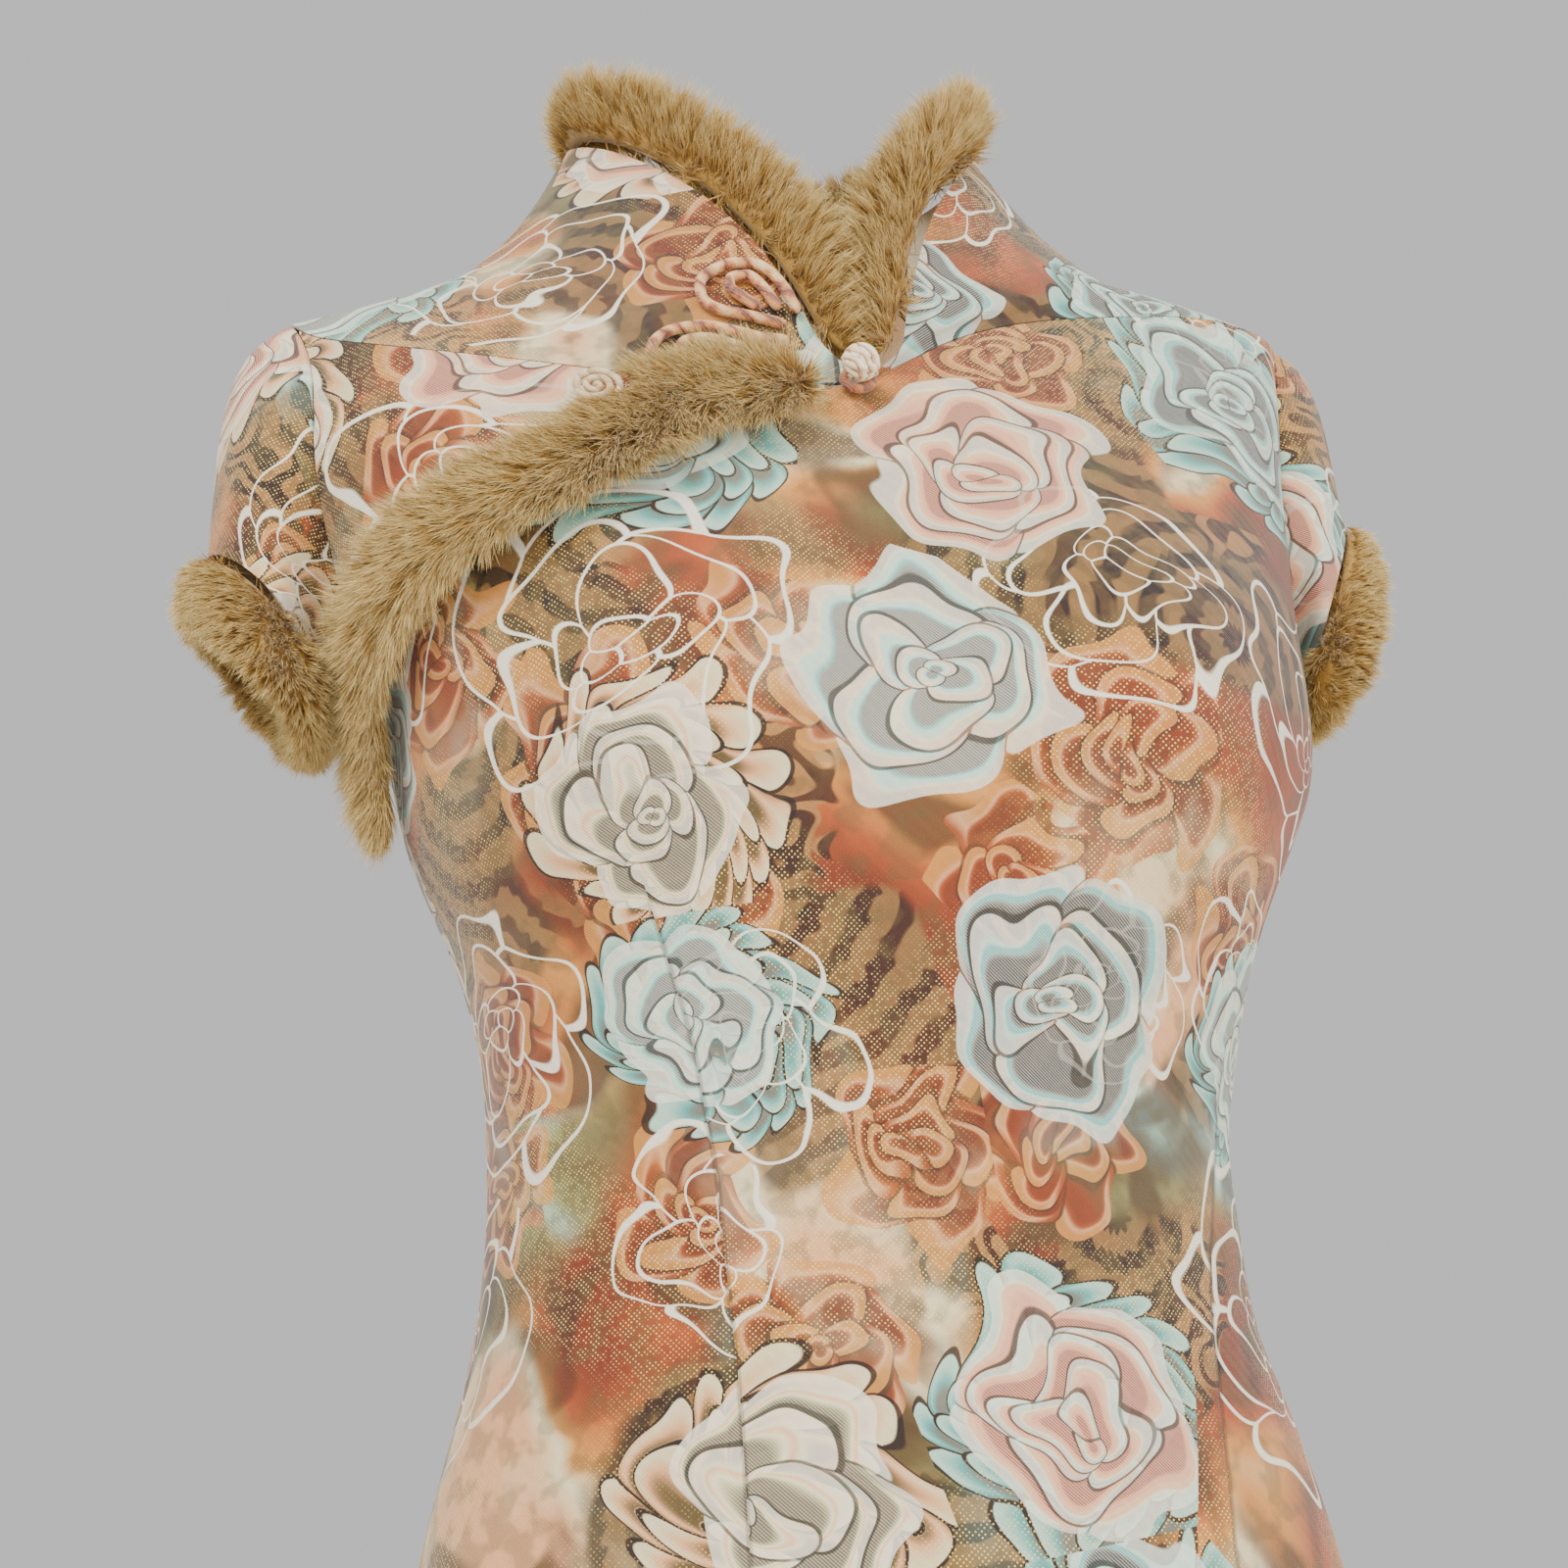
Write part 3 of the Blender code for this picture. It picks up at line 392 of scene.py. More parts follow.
def rose_group(name, rings, line_width, outlined=True):
    """A rose of radius one round the origin: where it is, its pale rims, its lines and shade."""
    group, given, asked, draft = new_group(
        name,
        {"Place": "Vector", "Seed": "Float"},
        {"Inside": "Float", "Rim": "Float", "Line": "Float", "Shade": "Float"},
    )
    read_at = draft.vector("ADD", given["Place"], draft.whole(given["Seed"], given["Seed"]))
    place = draft.warped(given["Place"], read_at, WARP_SCALE, 0.0, ROSE_WARP)
    near_heart = draft.minus(1.0, draft.vector("LENGTH", place, output="Value"), clamp=True)
    place = draft.vector("SUBTRACT", place, draft.scaled(HEART_SHIFT, near_heart))
    x, y, _ = draft.parts(place)
    far = draft.math("SQRT", draft.times_plus(x, x, draft.times(y, y)))
    round_share = draft.times_plus(draft.math("ARCTAN2", y, x), 0.5 / math.pi,
                                   draft.times(given["Seed"], SEED_TURN))
    round_share = draft.times_plus(far, PETAL_SWIRL * 2.0 * math.pi, round_share)
    rose, _, _ = draw_petals(draft, far, round_share, rings[0], line_width, outlined)
    for ring in rings[1:]:
        petals, depth, width = draw_petals(draft, far, round_share, ring, line_width, outlined)
        if not outlined:
            contour = draft.step(depth, -width * 1.35, -width * 0.90)
            rose["Line"] = draft.larger(rose["Line"], contour)
        for mask in ("Rim", "Line", "Shade"):
            rose[mask] = draft.mix(petals["Inside"], rose[mask], petals[mask])
    for mask, value in rose.items():
        draft.join(value, asked[mask])
    return group


filled_rose = rose_group("filled rose", ROSE_RINGS, 0.034, outlined=False)
small_rose = rose_group("small rose", SMALL_ROSE_RINGS, 0.045, outlined=False)
line_rose = rose_group("line rose", LINE_ROSE_RINGS, 0.036)
frilly_flower = rose_group("frilly flower", FRILL_RINGS, 0.026)
print("rose groups:", len(filled_rose.nodes), "and", len(line_rose.nodes), "nodes")

# %% [markdown]
# Flowers on a print stand at uneven distances. A Voronoi texture gives that for free: its cell
# centres are the flowers' places. Where flowers mustn't touch, half the way to the next centre is
# the largest radius that one may have. The group turns a place on the cloth into a place inside
# the nearest flower.

# %% Scattering one flower per cell
SEED_SPREAD = 7.0


def scatter_group(name, crowded):
    """From a place on the cloth to the place within the nearest flower; crowded ones may touch."""
    group, given, asked, draft = new_group(
        name,
        {"Cloth": "Vector", "Spacing": "Float", "Unevenness": "Float", "Largest": "Float"},
        {"Place": "Vector", "Seed": "Float", "Choice": "Float", "Presence": "Float"},
    )
    scaled = draft.scaled(given["Cloth"], draft.math("DIVIDE", 1.0, given["Spacing"]))
    nearest = draft.node("ShaderNodeTexVoronoi", voronoi_dimensions="2D", feature="F1")
    textures = [nearest]
    radius = given["Largest"]
    if not crowded:
        sphere = draft.node("ShaderNodeTexVoronoi", voronoi_dimensions="2D",
                            feature="N_SPHERE_RADIUS")
        textures.append(sphere)
        room = draft.times(sphere.outputs["Radius"], given["Spacing"])
        radius = draft.math("MINIMUM", room, radius)
    for texture in textures:
        draft.join(scaled, texture.inputs["Vector"])
        texture.inputs["Scale"].default_value = 1.0
        draft.join(given["Unevenness"], texture.inputs["Randomness"])
    offset = draft.vector("SUBTRACT", scaled, nearest.outputs["Position"])
    offset = draft.scaled(offset, draft.math("DIVIDE", given["Spacing"], radius))
    red, green, blue = draft.parts(nearest.outputs["Color"])
    spin = draft.node("ShaderNodeVectorRotate", rotation_type="Z_AXIS")
    draft.join(offset, spin.inputs["Vector"])
    draft.join(draft.times(red, 2.0 * math.pi), spin.inputs["Angle"])
    draft.join(spin.outputs[0], asked["Place"])
    draft.join(draft.times(green, SEED_SPREAD), asked["Seed"])
    draft.join(green, asked["Choice"])
    draft.join(blue, asked["Presence"])
    return group


scatter = scatter_group("scatter", crowded=False)
crowd = scatter_group("crowd", crowded=True)
print("scatter groups:", len(scatter.nodes), "and", len(crowd.nodes), "nodes")

# %% [markdown]
# A printed cloth has a limited set of inks. They are named once here, so that every cloud and
# flower draws on the same set. A formula that says amber is also easier to follow than one that
# says three numbers.

# %% Colours of the print
RUST = colour(190, 108, 52)
DEEP_RUST = colour(150, 78, 36)
AMBER = colour(222, 166, 92)
PEACH = colour(238, 190, 146)
CREAM = colour(238, 226, 190)
SAGE = colour(172, 168, 118)
OLIVE = colour(126, 108, 66)
TAN = colour(186, 146, 92)
DEEP_TAN = colour(160, 128, 80)
BROWN = colour(96, 62, 36)
DARK_BROWN = colour(62, 40, 24)
MINT = colour(196, 224, 208)
TEAL = colour(122, 192, 184)
GREY = colour(142, 142, 130)
CHARCOAL = colour(62, 62, 52)
RIM_WHITE = colour(248, 245, 233)
LINE_WHITE = colour(243, 236, 218)
PINK = colour(234, 170, 128)
GOLD = colour(250, 226, 150)
print("rust, amber and cream are", RUST, AMBER, CREAM)

# %% [markdown]
# The ground of the cloth is mottled like watercolour: rust runs into amber and cream, with sage
# and brown clouds. Fans of feather stripes, patches of striped arcs and small roses in the
# ground's own colours lie on it. Everything is worked out in metres on the flat cloth, so scales
# are easy to compare.

# %% The mottled ground, as a node group
CLOUD_DRIFT = 0.055
WARM_CLOUDS = ((0.34, DEEP_RUST), (0.44, RUST), (0.52, AMBER), (0.58, CREAM), (0.66, PEACH))
COOL_CLOUDS = ((0.32, BROWN), (0.44, OLIVE), (0.56, SAGE), (0.68, MINT))
FANS = {"Spacing": 0.15, "Unevenness": 0.7, "Largest": 0.075}
FAN_STRIPES = 15.0
FAN_HALF_ANGLE = (1.15, 1.35)
ARC_DENSITY = 34.0
TONAL_ROSES = {"Spacing": 0.080, "Unevenness": 0.7, "Largest": 0.036}
TONAL_SHADES = ((0.0, AMBER), (0.35, PEACH), (0.70, RUST), (1.0, DEEP_RUST))


def lay_clouds(draft, cloth):
    """Clouds of warm and cool colours with brown stains."""
    warped = draft.warped(cloth, cloth, 16.0, 1.0, CLOUD_DRIFT)
    warm = draft.ramp(draft.noise(warped, 9.0, 2.0), WARM_CLOUDS)
    cool = draft.ramp(draft.noise(draft.beside(warped, 3.1, 1.7), 12.0, 2.0), COOL_CLOUDS)
    share = draft.step(draft.noise(draft.beside(warped, 7.3, 4.9), 8.0, 1.0), 0.52, 0.62)
    ground = draft.paint(share, warm, cool)
    stain = draft.noise(draft.beside(warped, 1.3, 9.1), 22.0, 2.0)
    return draft.paint(draft.step(stain, 0.52, 0.66, 0.0, 0.80), ground, BROWN)


def lay_fans(draft, cloth, ground):
    """Fans of feather stripes, and patches of arcs that run round the same centres."""
    fan = draft.place(crowd, Cloth=draft.beside(cloth, 0.41, 0.27), **FANS)
    x, y, _ = draft.parts(fan["Place"])
    far = draft.vector("LENGTH", fan["Place"], output="Value")
    angle = draft.math("ARCTAN2", y, x)
    ripple = draft.times_plus(draft.noise(cloth, 60.0, 0.0), 1.2, angle)
    stripes = draft.sine(draft.times(ripple, FAN_STRIPES))
    scallop = draft.times_plus(stripes, 0.05, 0.92)
    in_fan = draft.times(draft.step(draft.minus(scallop, far), 0.0, 0.03),
                         draft.step(far, 0.18, 0.30))
    in_fan = draft.times(in_fan, draft.step(draft.math("ABSOLUTE", angle), *FAN_HALF_ANGLE, 1.0, 0.0))
    shown = draft.times(draft.times(in_fan, draft.above(fan["Presence"], 0.25)), 0.86)
    fan_colour = draft.paint(draft.step(stripes, -0.10, 0.45), TAN, DARK_BROWN)
    ground = draft.paint(shown, ground, fan_colour)
    arcs = draft.sine(draft.times_plus(far, ARC_DENSITY, draft.times(stripes, 0.5)))
    arc_colour = draft.paint(draft.step(arcs, -0.2, 0.4), DEEP_TAN, DARK_BROWN)
    patches = draft.noise(draft.beside(cloth, 8.2, 3.3), 9.0, 1.0)
    ground = draft.paint(draft.step(patches, 0.53, 0.57, 0.0, 0.85), ground, arc_colour)
    return draft.paint(draft.step(draft.noise(cloth, 85.0, 2.0), 0.44, 0.62, 0.0, 0.42), ground, OLIVE)


def ground_group():
    """The mottled ground with its fans, arcs and small roses."""
    group, given, asked, draft = new_group("mottled ground", {"Cloth": "Vector"},
                                           {"Color": "Color"})
    cloth = given["Cloth"]
    ground = lay_fans(draft, cloth, lay_clouds(draft, cloth))
    spot = draft.place(crowd, Cloth=draft.beside(cloth, 0.93, 0.61), **TONAL_ROSES)
    rose = draft.place(small_rose, Place=spot["Place"], Seed=spot["Seed"])
    tonal = draft.ramp(rose["Shade"], TONAL_SHADES)
    tonal = draft.paint(draft.times(rose["Line"], 0.8), tonal, BROWN)
    shown = draft.times(draft.times(rose["Inside"], draft.above(spot["Presence"], 0.50)), 0.75)
    draft.join(draft.paint(shown, ground, tonal), asked["Color"])
    return group


mottled_ground = ground_group()
print("the ground takes", len(mottled_ground.nodes), "nodes")

# %% [markdown]
# Jacquard is woven in two looks. The roses are a crisp diagonal twill, in which pale threads cross
# the printed ones, and their rims are nearly all pale thread. The ground is a fine knit-like rib
# with rows of tiny gold threads that glint. The weave group gives each as a mask.

# %% The weave, as a node group
TWILL_PITCH = 0.0012
RIB_PITCH = 0.0010
GOLD_PITCH = 0.0019
TURN = 2.0 * math.pi


def weave_group():
    """Masks of twill, rib and gold thread, at their real pitch."""
    group, given, asked, draft = new_group("weave", {"Cloth": "Vector"},
                                           {"Twill": "Float", "Rib": "Float", "Gold": "Float"})
    x, y, _ = draft.parts(given["Cloth"])
    twill = draft.sine(draft.times(draft.plus(x, y), TURN / TWILL_PITCH))
    draft.join(draft.times_plus(twill, 0.5, 0.5), asked["Twill"])
    rib = draft.times(draft.sine(draft.times(y, TURN / RIB_PITCH)),
                      draft.sine(draft.times(x, TURN / RIB_PITCH)))
    draft.join(draft.times_plus(rib, 0.5, 0.5), asked["Rib"])
    dots = draft.times(draft.sine(draft.times(y, TURN / GOLD_PITCH)),
                       draft.sine(draft.times(x, TURN / GOLD_PITCH)))
    patchy = draft.step(draft.noise(given["Cloth"], 11.0, 2.0), 0.42, 0.58)
    uneven = draft.step(draft.noise(given["Cloth"], 420.0, 0.0), 0.35, 0.55)
    gold = draft.times(draft.step(dots, 0.35, 0.80, 0.0, 0.85), patchy)
    draft.join(draft.times(gold, uneven), asked["Gold"])
    return group


weave = weave_group()
print("threads of the ground lie", RIB_PITCH * 1000, "mm apart")

# %% [markdown]
# The print group puts the layers together: the ground, frilled flowers that peep out behind the
# roses, filled roses in four colourways, roses that are only a pale line, and the threads. The
# rims of the filled roses are sheer, so the ground shows through them.

# %% The print, as a node group
FILLED_ROSES = {"Spacing": 0.116, "Unevenness": 0.60, "Largest": 0.044}
LINE_ROSES = {"Spacing": 0.125, "Unevenness": 0.55, "Largest": 0.060}
FRILL_SIZE = 0.76
FRILL_SHADES = {
    "warm": ((0.0, CREAM), (0.6, PEACH), (1.0, OLIVE)),
    "cool": ((0.0, MINT), (0.6, TEAL), (1.0, GREY)),
}
COLOURWAYS = (
    {"above": 0.0, "shades": ((0.20, CREAM), (0.32, PEACH), (0.52, CREAM), (0.72, SAGE),
                              (0.90, OLIVE), (1.0, OLIVE))},
    {"above": 0.20, "shades": ((0.20, CREAM), (0.30, PEACH), (0.55, PEACH), (0.72, PINK),
                               (0.90, PINK), (1.0, RUST))},
    {"above": 0.56, "shades": ((0.20, CREAM), (0.30, MINT), (0.62, MINT), (0.78, TEAL),
                               (0.90, GREY), (1.0, GREY))},
    {"above": 0.82, "shades": ((0.20, MINT), (0.32, TEAL), (0.60, TEAL), (0.74, GREY),
                               (0.90, CHARCOAL), (1.0, CHARCOAL))},
)


def lay_frills(draft, spot, base):
    """A frilled flower behind some of the roses."""
    behind = draft.vector("ADD", draft.scaled(spot["Place"], FRILL_SIZE), (0.06, -0.10, 0.0))
    frill = draft.place(frilly_flower, Place=behind, Seed=spot["Seed"])
    warm = draft.ramp(frill["Shade"], FRILL_SHADES["warm"])
    cool = draft.ramp(frill["Shade"], FRILL_SHADES["cool"])
    tint = draft.paint(draft.above(spot["Choice"], 0.50), warm, cool)
    tint = draft.paint(frill["Line"], tint, DARK_BROWN)
    shown = draft.times(frill["Inside"], draft.above(spot["Presence"], 0.45))
    return draft.paint(draft.times(shown, 0.92), base, tint)


def lay_roses(draft, spot, base, twill):
    """The filled roses; gives the print so far and where they show."""
    rose = draft.place(filled_rose, Place=spot["Place"], Seed=spot["Seed"])
    petal = draft.ramp(rose["Shade"], COLOURWAYS[0]["shades"])
    for way in COLOURWAYS[1:]:
        petal = draft.paint(draft.above(spot["Choice"], way["above"]), petal,
                            draft.ramp(rose["Shade"], way["shades"]))
    rim_share = draft.times(rose["Rim"], draft.times_plus(twill, 0.36, 0.46))
    petal = draft.paint(rim_share, petal, RIM_WHITE)
    petal = draft.paint(draft.times(twill, 0.34), petal, RIM_WHITE)
    petal = draft.paint(draft.times(rose["Line"], 0.82), petal, CHARCOAL)
    shown = draft.times(rose["Inside"], draft.above(spot["Presence"], 0.12))
    sheerness = draft.times_plus(rose["Rim"], -0.36, 0.96)
    return draft.paint(draft.times(shown, sheerness), base, petal), shown


def line_roses(draft, cloth, shown):
    """Where the roses of pale line are; they fade where a filled rose lies."""
    spot = draft.place(scatter, Cloth=draft.beside(cloth, 2.37, 1.19), **LINE_ROSES)
    rose = draft.place(line_rose, Place=spot["Place"], Seed=spot["Seed"])
    over = draft.times(rose["Line"], rose["Inside"])
    over = draft.times(over, draft.times_plus(shown, -0.80, 1.0))
    return draft.times(over, draft.above(spot["Presence"], 0.10))


def print_group():
    """Colour of the whole print, from a place on the flat cloth."""
    group, given, asked, draft = new_group("rose print", {"Cloth": "Vector"}, {"Color": "Color"})
    cloth = given["Cloth"]
    base = draft.place(mottled_ground, Cloth=cloth)["Color"]
    threads = draft.place(weave, Cloth=cloth)
    spot = draft.place(scatter, Cloth=cloth, **FILLED_ROSES)
    base = lay_frills(draft, spot, base)
    tint, shown = lay_roses(draft, spot, base, threads["Twill"])
    over = line_roses(draft, cloth, shown)
    tint = draft.paint(draft.times(over, 0.94), tint, LINE_WHITE)
    plain = draft.minus(1.0, draft.larger(shown, over))
    ribbing = draft.times(threads["Rib"], draft.times(plain, 0.14))
    tint = draft.paint(ribbing, tint, DARK_BROWN)
    tint = draft.paint(draft.times(threads["Gold"], plain), tint, GOLD)
    draft.join(tint, asked["Color"])
    return group


rose_print = print_group()
print("the print takes", len(rose_print.nodes), "nodes")

# %% [markdown]
# The dress has two long darts in front. Cloth is folded away in them, so the print doesn't meet
# across their seams. The material does the same: beyond a seam it reads the print further out.
# Each dart is a short table of heights and places across, measured on the solid.

# %% Darts
DARTS = {
    "left_dart": {"side": 1.0, "z": (-1.00, -0.47, -0.42, -0.374, -0.332, -0.300),
                  "x": (0.072, 0.076, 0.082, 0.090, 0.102, 0.110)},
    "right_dart": {"side": -1.0, "z": (-1.00, -0.464, -0.408, -0.348, -0.306, -0.252),
                   "x": (-0.072, -0.070, -0.068, -0.069, -0.074, -0.089)},
}
DART_TAKE = 0.16
DART_LARGEST = 0.019
DART_SLANT = 0.4
SEAM_HALF_WIDTH = 0.0004


def add_values(mesh, name, values):
    """Give each point of a mesh a number under a name."""
    layer = mesh.attributes.new(name, "FLOAT", "POINT")
    layer.data.foreach_set("value", np.asarray(values, dtype=np.float32))


def add_dart_values(mesh):
    """Give each point how far it lies beyond each dart's seam, and how much cloth the dart takes."""
    points = np.array([vertex.co for vertex in mesh.vertices])
    for name, dart in DARTS.items():
        heights = np.array(dart["z"])
        across = np.interp(points[:, 2], heights, np.array(dart["x"]))
        take = np.clip((heights[-1] - points[:, 2]) * DART_TAKE, 0.0, DART_LARGEST)
        add_values(mesh, name, dart["side"] * (points[:, 0] - across))
        add_values(mesh, name + "_take", take)


def fold_darts(draft, flat):
    """Move the print beyond each dart's seam; gives the moved place and where the seams are."""
    seam = 0.0
    for name, dart in DARTS.items():
        beyond = draft.attribute(name)
        take = draft.attribute(name + "_take")
        shift = draft.times(draft.times(draft.above(beyond, 0.0), take), dart["side"])
        flat = draft.vector("ADD", flat, draft.whole(shift, draft.times(shift, DART_SLANT)))
        near = draft.step(draft.math("ABSOLUTE", beyond), SEAM_HALF_WIDTH, SEAM_HALF_WIDTH * 3.0,
                          1.0, 0.0)
        seam = draft.larger(seam, draft.times(near, draft.step(take, 0.0, 0.004)))
    return flat, seam


print(len(DARTS), "darts take up to", DART_LARGEST * 1000, "mm of cloth each")

# %% [markdown]
# Cloth is matt, with a soft pale nap that shows where it turns away from the eye, and a few glinting
# threads. Its small relief is a bump of twill and rib, which the darts' seams cut. Along those seams
# the colour is also darkened: painted shade in the seam's groove. The reverse is plain and duller,
# because the print hardly shows through.

# %% The printed cloth
CLOTH_SETTINGS = {"Specular IOR Level": 0.35, "Sheen Weight": 0.28, "Sheen Roughness": 0.45,
                  "Sheen Tint": (1.0, 0.96, 0.90, 1.0)}
CLOTH_RELIEF = {"strength": 0.45, "distance": 0.00025}
MATT_ROUGHNESS = 0.72
GOLD_ROUGHNESS = 0.38
REVERSE_CLOUDS = ((0.35, colour(190, 146, 108)), (0.50, colour(216, 186, 148)),
                  (0.65, colour(226, 212, 184)))


def cloth_material(name, darted=False, reverse=False):
    """The printed jacquard, with or without darts; the reverse is the same cloth, duller."""
    made, shader, draft = new_material(name)
    flat = draft.node("ShaderNodeUVMap", uv_map="cloth").outputs[0]
    if darted:
        flat, seam = fold_darts(draft, flat)
    threads = draft.place(weave, Cloth=flat)
    if reverse:
        tint = draft.ramp(draft.noise(flat, 14.0, 2.0), REVERSE_CLOUDS)
    else:
        tint = draft.place(rose_print, Cloth=flat)["Color"]
    height = draft.plus(threads["Rib"], threads["Twill"])
    if darted:
        # Painted shade: the colour darkens along each dart's seam, where the cloth sinks into the
        # seam's groove.
        tint = draft.paint(draft.times(seam, 0.45), tint, DARK_BROWN)
        height = draft.times_plus(seam, -2.5, height)
    draft.join(tint, shader.inputs["Base Color"])
    draft.join(draft.mix(threads["Gold"], MATT_ROUGHNESS, GOLD_ROUGHNESS),
               shader.inputs["Roughness"])
    set_inputs(shader, CLOTH_SETTINGS)
    draft.join(draft.relief(height, **CLOTH_RELIEF), shader.inputs["Normal"])
    return made


printed_cloth = cloth_material("printed cloth")
darted_cloth = cloth_material("printed cloth with darts", darted=True)
reverse_cloth = cloth_material("reverse of the cloth", reverse=True)
print("cloth materials:", printed_cloth.name, darted_cloth.name, reverse_cloth.name, sep=", ")

# %% [markdown]
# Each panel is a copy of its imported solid, so it already has the wall and the seam gaps of the
# real piece. The copy's triangles are paired into quads. Where its faces meet at a sharp angle,
# one layer of the cloth ends, which tells the outer face from the lining side and from the rim.

# %% Copy a panel and tell its layers apart
SAME_POINT = 0.00001
LAYER_ANGLE = math.radians(40.0)


def show_only(piece):
    """Make one object the selected and active one."""
    bpy.ops.object.select_all(action="DESELECT")
    piece.select_set(True)
    bpy.context.view_layer.objects.active = piece


def start_editing(select):
    """Enter edit mode with everything selected or nothing."""
    bpy.ops.object.mode_set(mode="EDIT")
    bpy.ops.mesh.select_all(action=select)


def take_copy(node, name):
    """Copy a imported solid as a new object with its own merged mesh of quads."""
    piece = link_object(name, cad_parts[node].data.copy())
    piece.data.materials.clear()
    while piece.data.uv_layers:
        piece.data.uv_layers.remove(piece.data.uv_layers[0])
    show_only(piece)
    if piece.data.has_custom_normals:
        bpy.ops.mesh.customdata_custom_splitnormals_clear()
    start_editing("SELECT")
    bpy.ops.mesh.remove_doubles(threshold=SAME_POINT)
    bpy.ops.mesh.tris_convert_to_quads(face_threshold=math.pi, shape_threshold=math.pi)
    bpy.ops.mesh.normals_make_consistent(inside=False)
    bpy.ops.object.mode_set(mode="OBJECT")
    return piece


def faces_beside_edges(mesh):
    """For each edge, the faces on its two sides."""
    beside = {}
    for face in mesh.polygons:
        for key in face.edge_keys:
            beside.setdefault(key, []).append(face.index)
    return beside


def label_layers(mesh):
    """Number the parts of a mesh that sharp edges part, the largest first."""
    normals = np.array([face.normal for face in mesh.polygons])
    areas = np.array([face.area for face in mesh.polygons])
    near = {}
    for pair in faces_beside_edges(mesh).values():
        if len(pair) == 2 and normals[pair[0]] @ normals[pair[1]] > math.cos(LAYER_ANGLE):
            near.setdefault(pair[0], []).append(pair[1])
            near.setdefault(pair[1], []).append(pair[0])
    label = np.full(len(normals), -1)
    count = 0
    for start in range(len(normals)):
        if label[start] >= 0:
            continue
        label[start] = count
        waiting = [start]
        while waiting:
            for there in near.get(waiting.pop(), ()):
                if label[there] < 0:
                    label[there] = count
                    waiting.append(there)
        count += 1
    order = np.argsort(-np.bincount(label, weights=areas))
    rank = np.empty(count, dtype=int)
    rank[order] = np.arange(count)
    return rank[label], normals, areas


def find_layers(mesh):
    """Which faces are the outer layer, whose faces look away from its middle, and the inner."""
    label, normals, areas = label_layers(mesh)
    middles = np.array([face.center for face in mesh.polygons])
    leans = []
    for name in (0, 1):
        chosen = label == name
        centre = (middles[chosen] * areas[chosen, None]).sum(axis=0) / areas[chosen].sum()
        outward = (normals[chosen] * (middles[chosen] - centre)).sum(axis=1)
        leans.append(float(outward @ areas[chosen]))
    return label == int(np.argmax(leans)), label == int(np.argmin(leans))


def hold_rims(mesh, outer, inner):
    """Keep the edges between a cloth's face and its rim sharp when it is rounded."""
    kind = outer * 1 + inner * 2
    beside = faces_beside_edges(mesh)
    held = []
    for edge in mesh.edges:
        pair = beside.get(tuple(sorted(edge.vertices)), [0, 0])
        held.append(1.0 if kind[pair[0]] != kind[pair[-1]] else 0.0)
    mesh.attributes.new("crease_edge", "FLOAT", "EDGE").data.foreach_set("value", held)


print("layers part where faces meet at over", round(math.degrees(LAYER_ANGLE)), "degrees")

# %% [markdown]
# A print only looks right if the cloth under it could lie flat. So each panel's outer face is
# unwrapped, as a maker would unpick it, then scaled to its true size and turned upright. The
# collar and the sleeves go right round, so they are first cut open where nobody looks.

# %% Lay a panel flat


def plant_tree(points):
    """A tree that finds the nearest of some points."""
    tree = KDTree(len(points))
    for count, point in enumerate(points):
        tree.insert(point, count)
    tree.balance()
    return tree


def true_size(mesh, outer, toward):
    """How to turn unwrapped places into metres, upright and centred, and the layer's area."""
    layer = mesh.uv_layers["cloth"]
    places, flats, weights = [], [], []
    area_true, area_flat = 0.0, 0.0
    toward = Vector(toward)
    right = Vector((0.0, 0.0, 1.0)).cross(toward)
    for face in mesh.polygons:
        if not outer[face.index]:
            continue
        corners = [np.array(layer.data[k].uv) for k in face.loop_indices]
        for corner, vertex in zip(corners, face.vertices):
            spot = mesh.vertices[vertex].co
            places.append((spot.dot(right), spot.z))
            flats.append(corner)
            weights.append(max(face.normal.dot(toward), 0.0) ** 2 * face.area)
        ring = np.array(corners)
        after = np.roll(ring, -1, axis=0)
        area_flat += abs((ring[:, 0] * after[:, 1] - ring[:, 1] * after[:, 0]).sum()) / 2.0
        area_true += face.area
    places, flats, weights = np.array(places), np.array(flats), np.array(weights)[:, None]
    weights /= weights.sum()
    scale = math.sqrt(area_true / area_flat)
    place_middle = (places * weights).sum(axis=0)
    flat_middle = (flats * weights).sum(axis=0)
    spread = ((flats - flat_middle) * weights).T @ (places - place_middle)
    left, _, other = np.linalg.svd(spread)
    turn = left @ np.diag([1.0, np.sign(np.linalg.det(left @ other))]) @ other
    return (lambda flat: (flat - flat_middle) @ turn * scale + place_middle), area_true


def cut_open(piece, outer, start, end):
    """Mark a cut along the outer layer from near one point to near another."""
    mesh = piece.data
    own = sorted({v for face in mesh.polygons if outer[face.index] for v in face.vertices})
    ends = [min(own, key=lambda v, p=p: (mesh.vertices[v].co - Vector(p)).length)
            for p in (start, end)]
    bpy.context.tool_settings.mesh_select_mode = (True, False, False)
    show_only(piece)
    start_editing("DESELECT")
    bpy.ops.object.mode_set(mode="OBJECT")
    for index in ends:
        mesh.vertices[index].select = True
    bpy.ops.object.mode_set(mode="EDIT")
    bpy.ops.mesh.shortest_path_select(edge_mode="SELECT")
    bpy.ops.mesh.mark_seam(clear=False)
    bpy.ops.object.mode_set(mode="OBJECT")


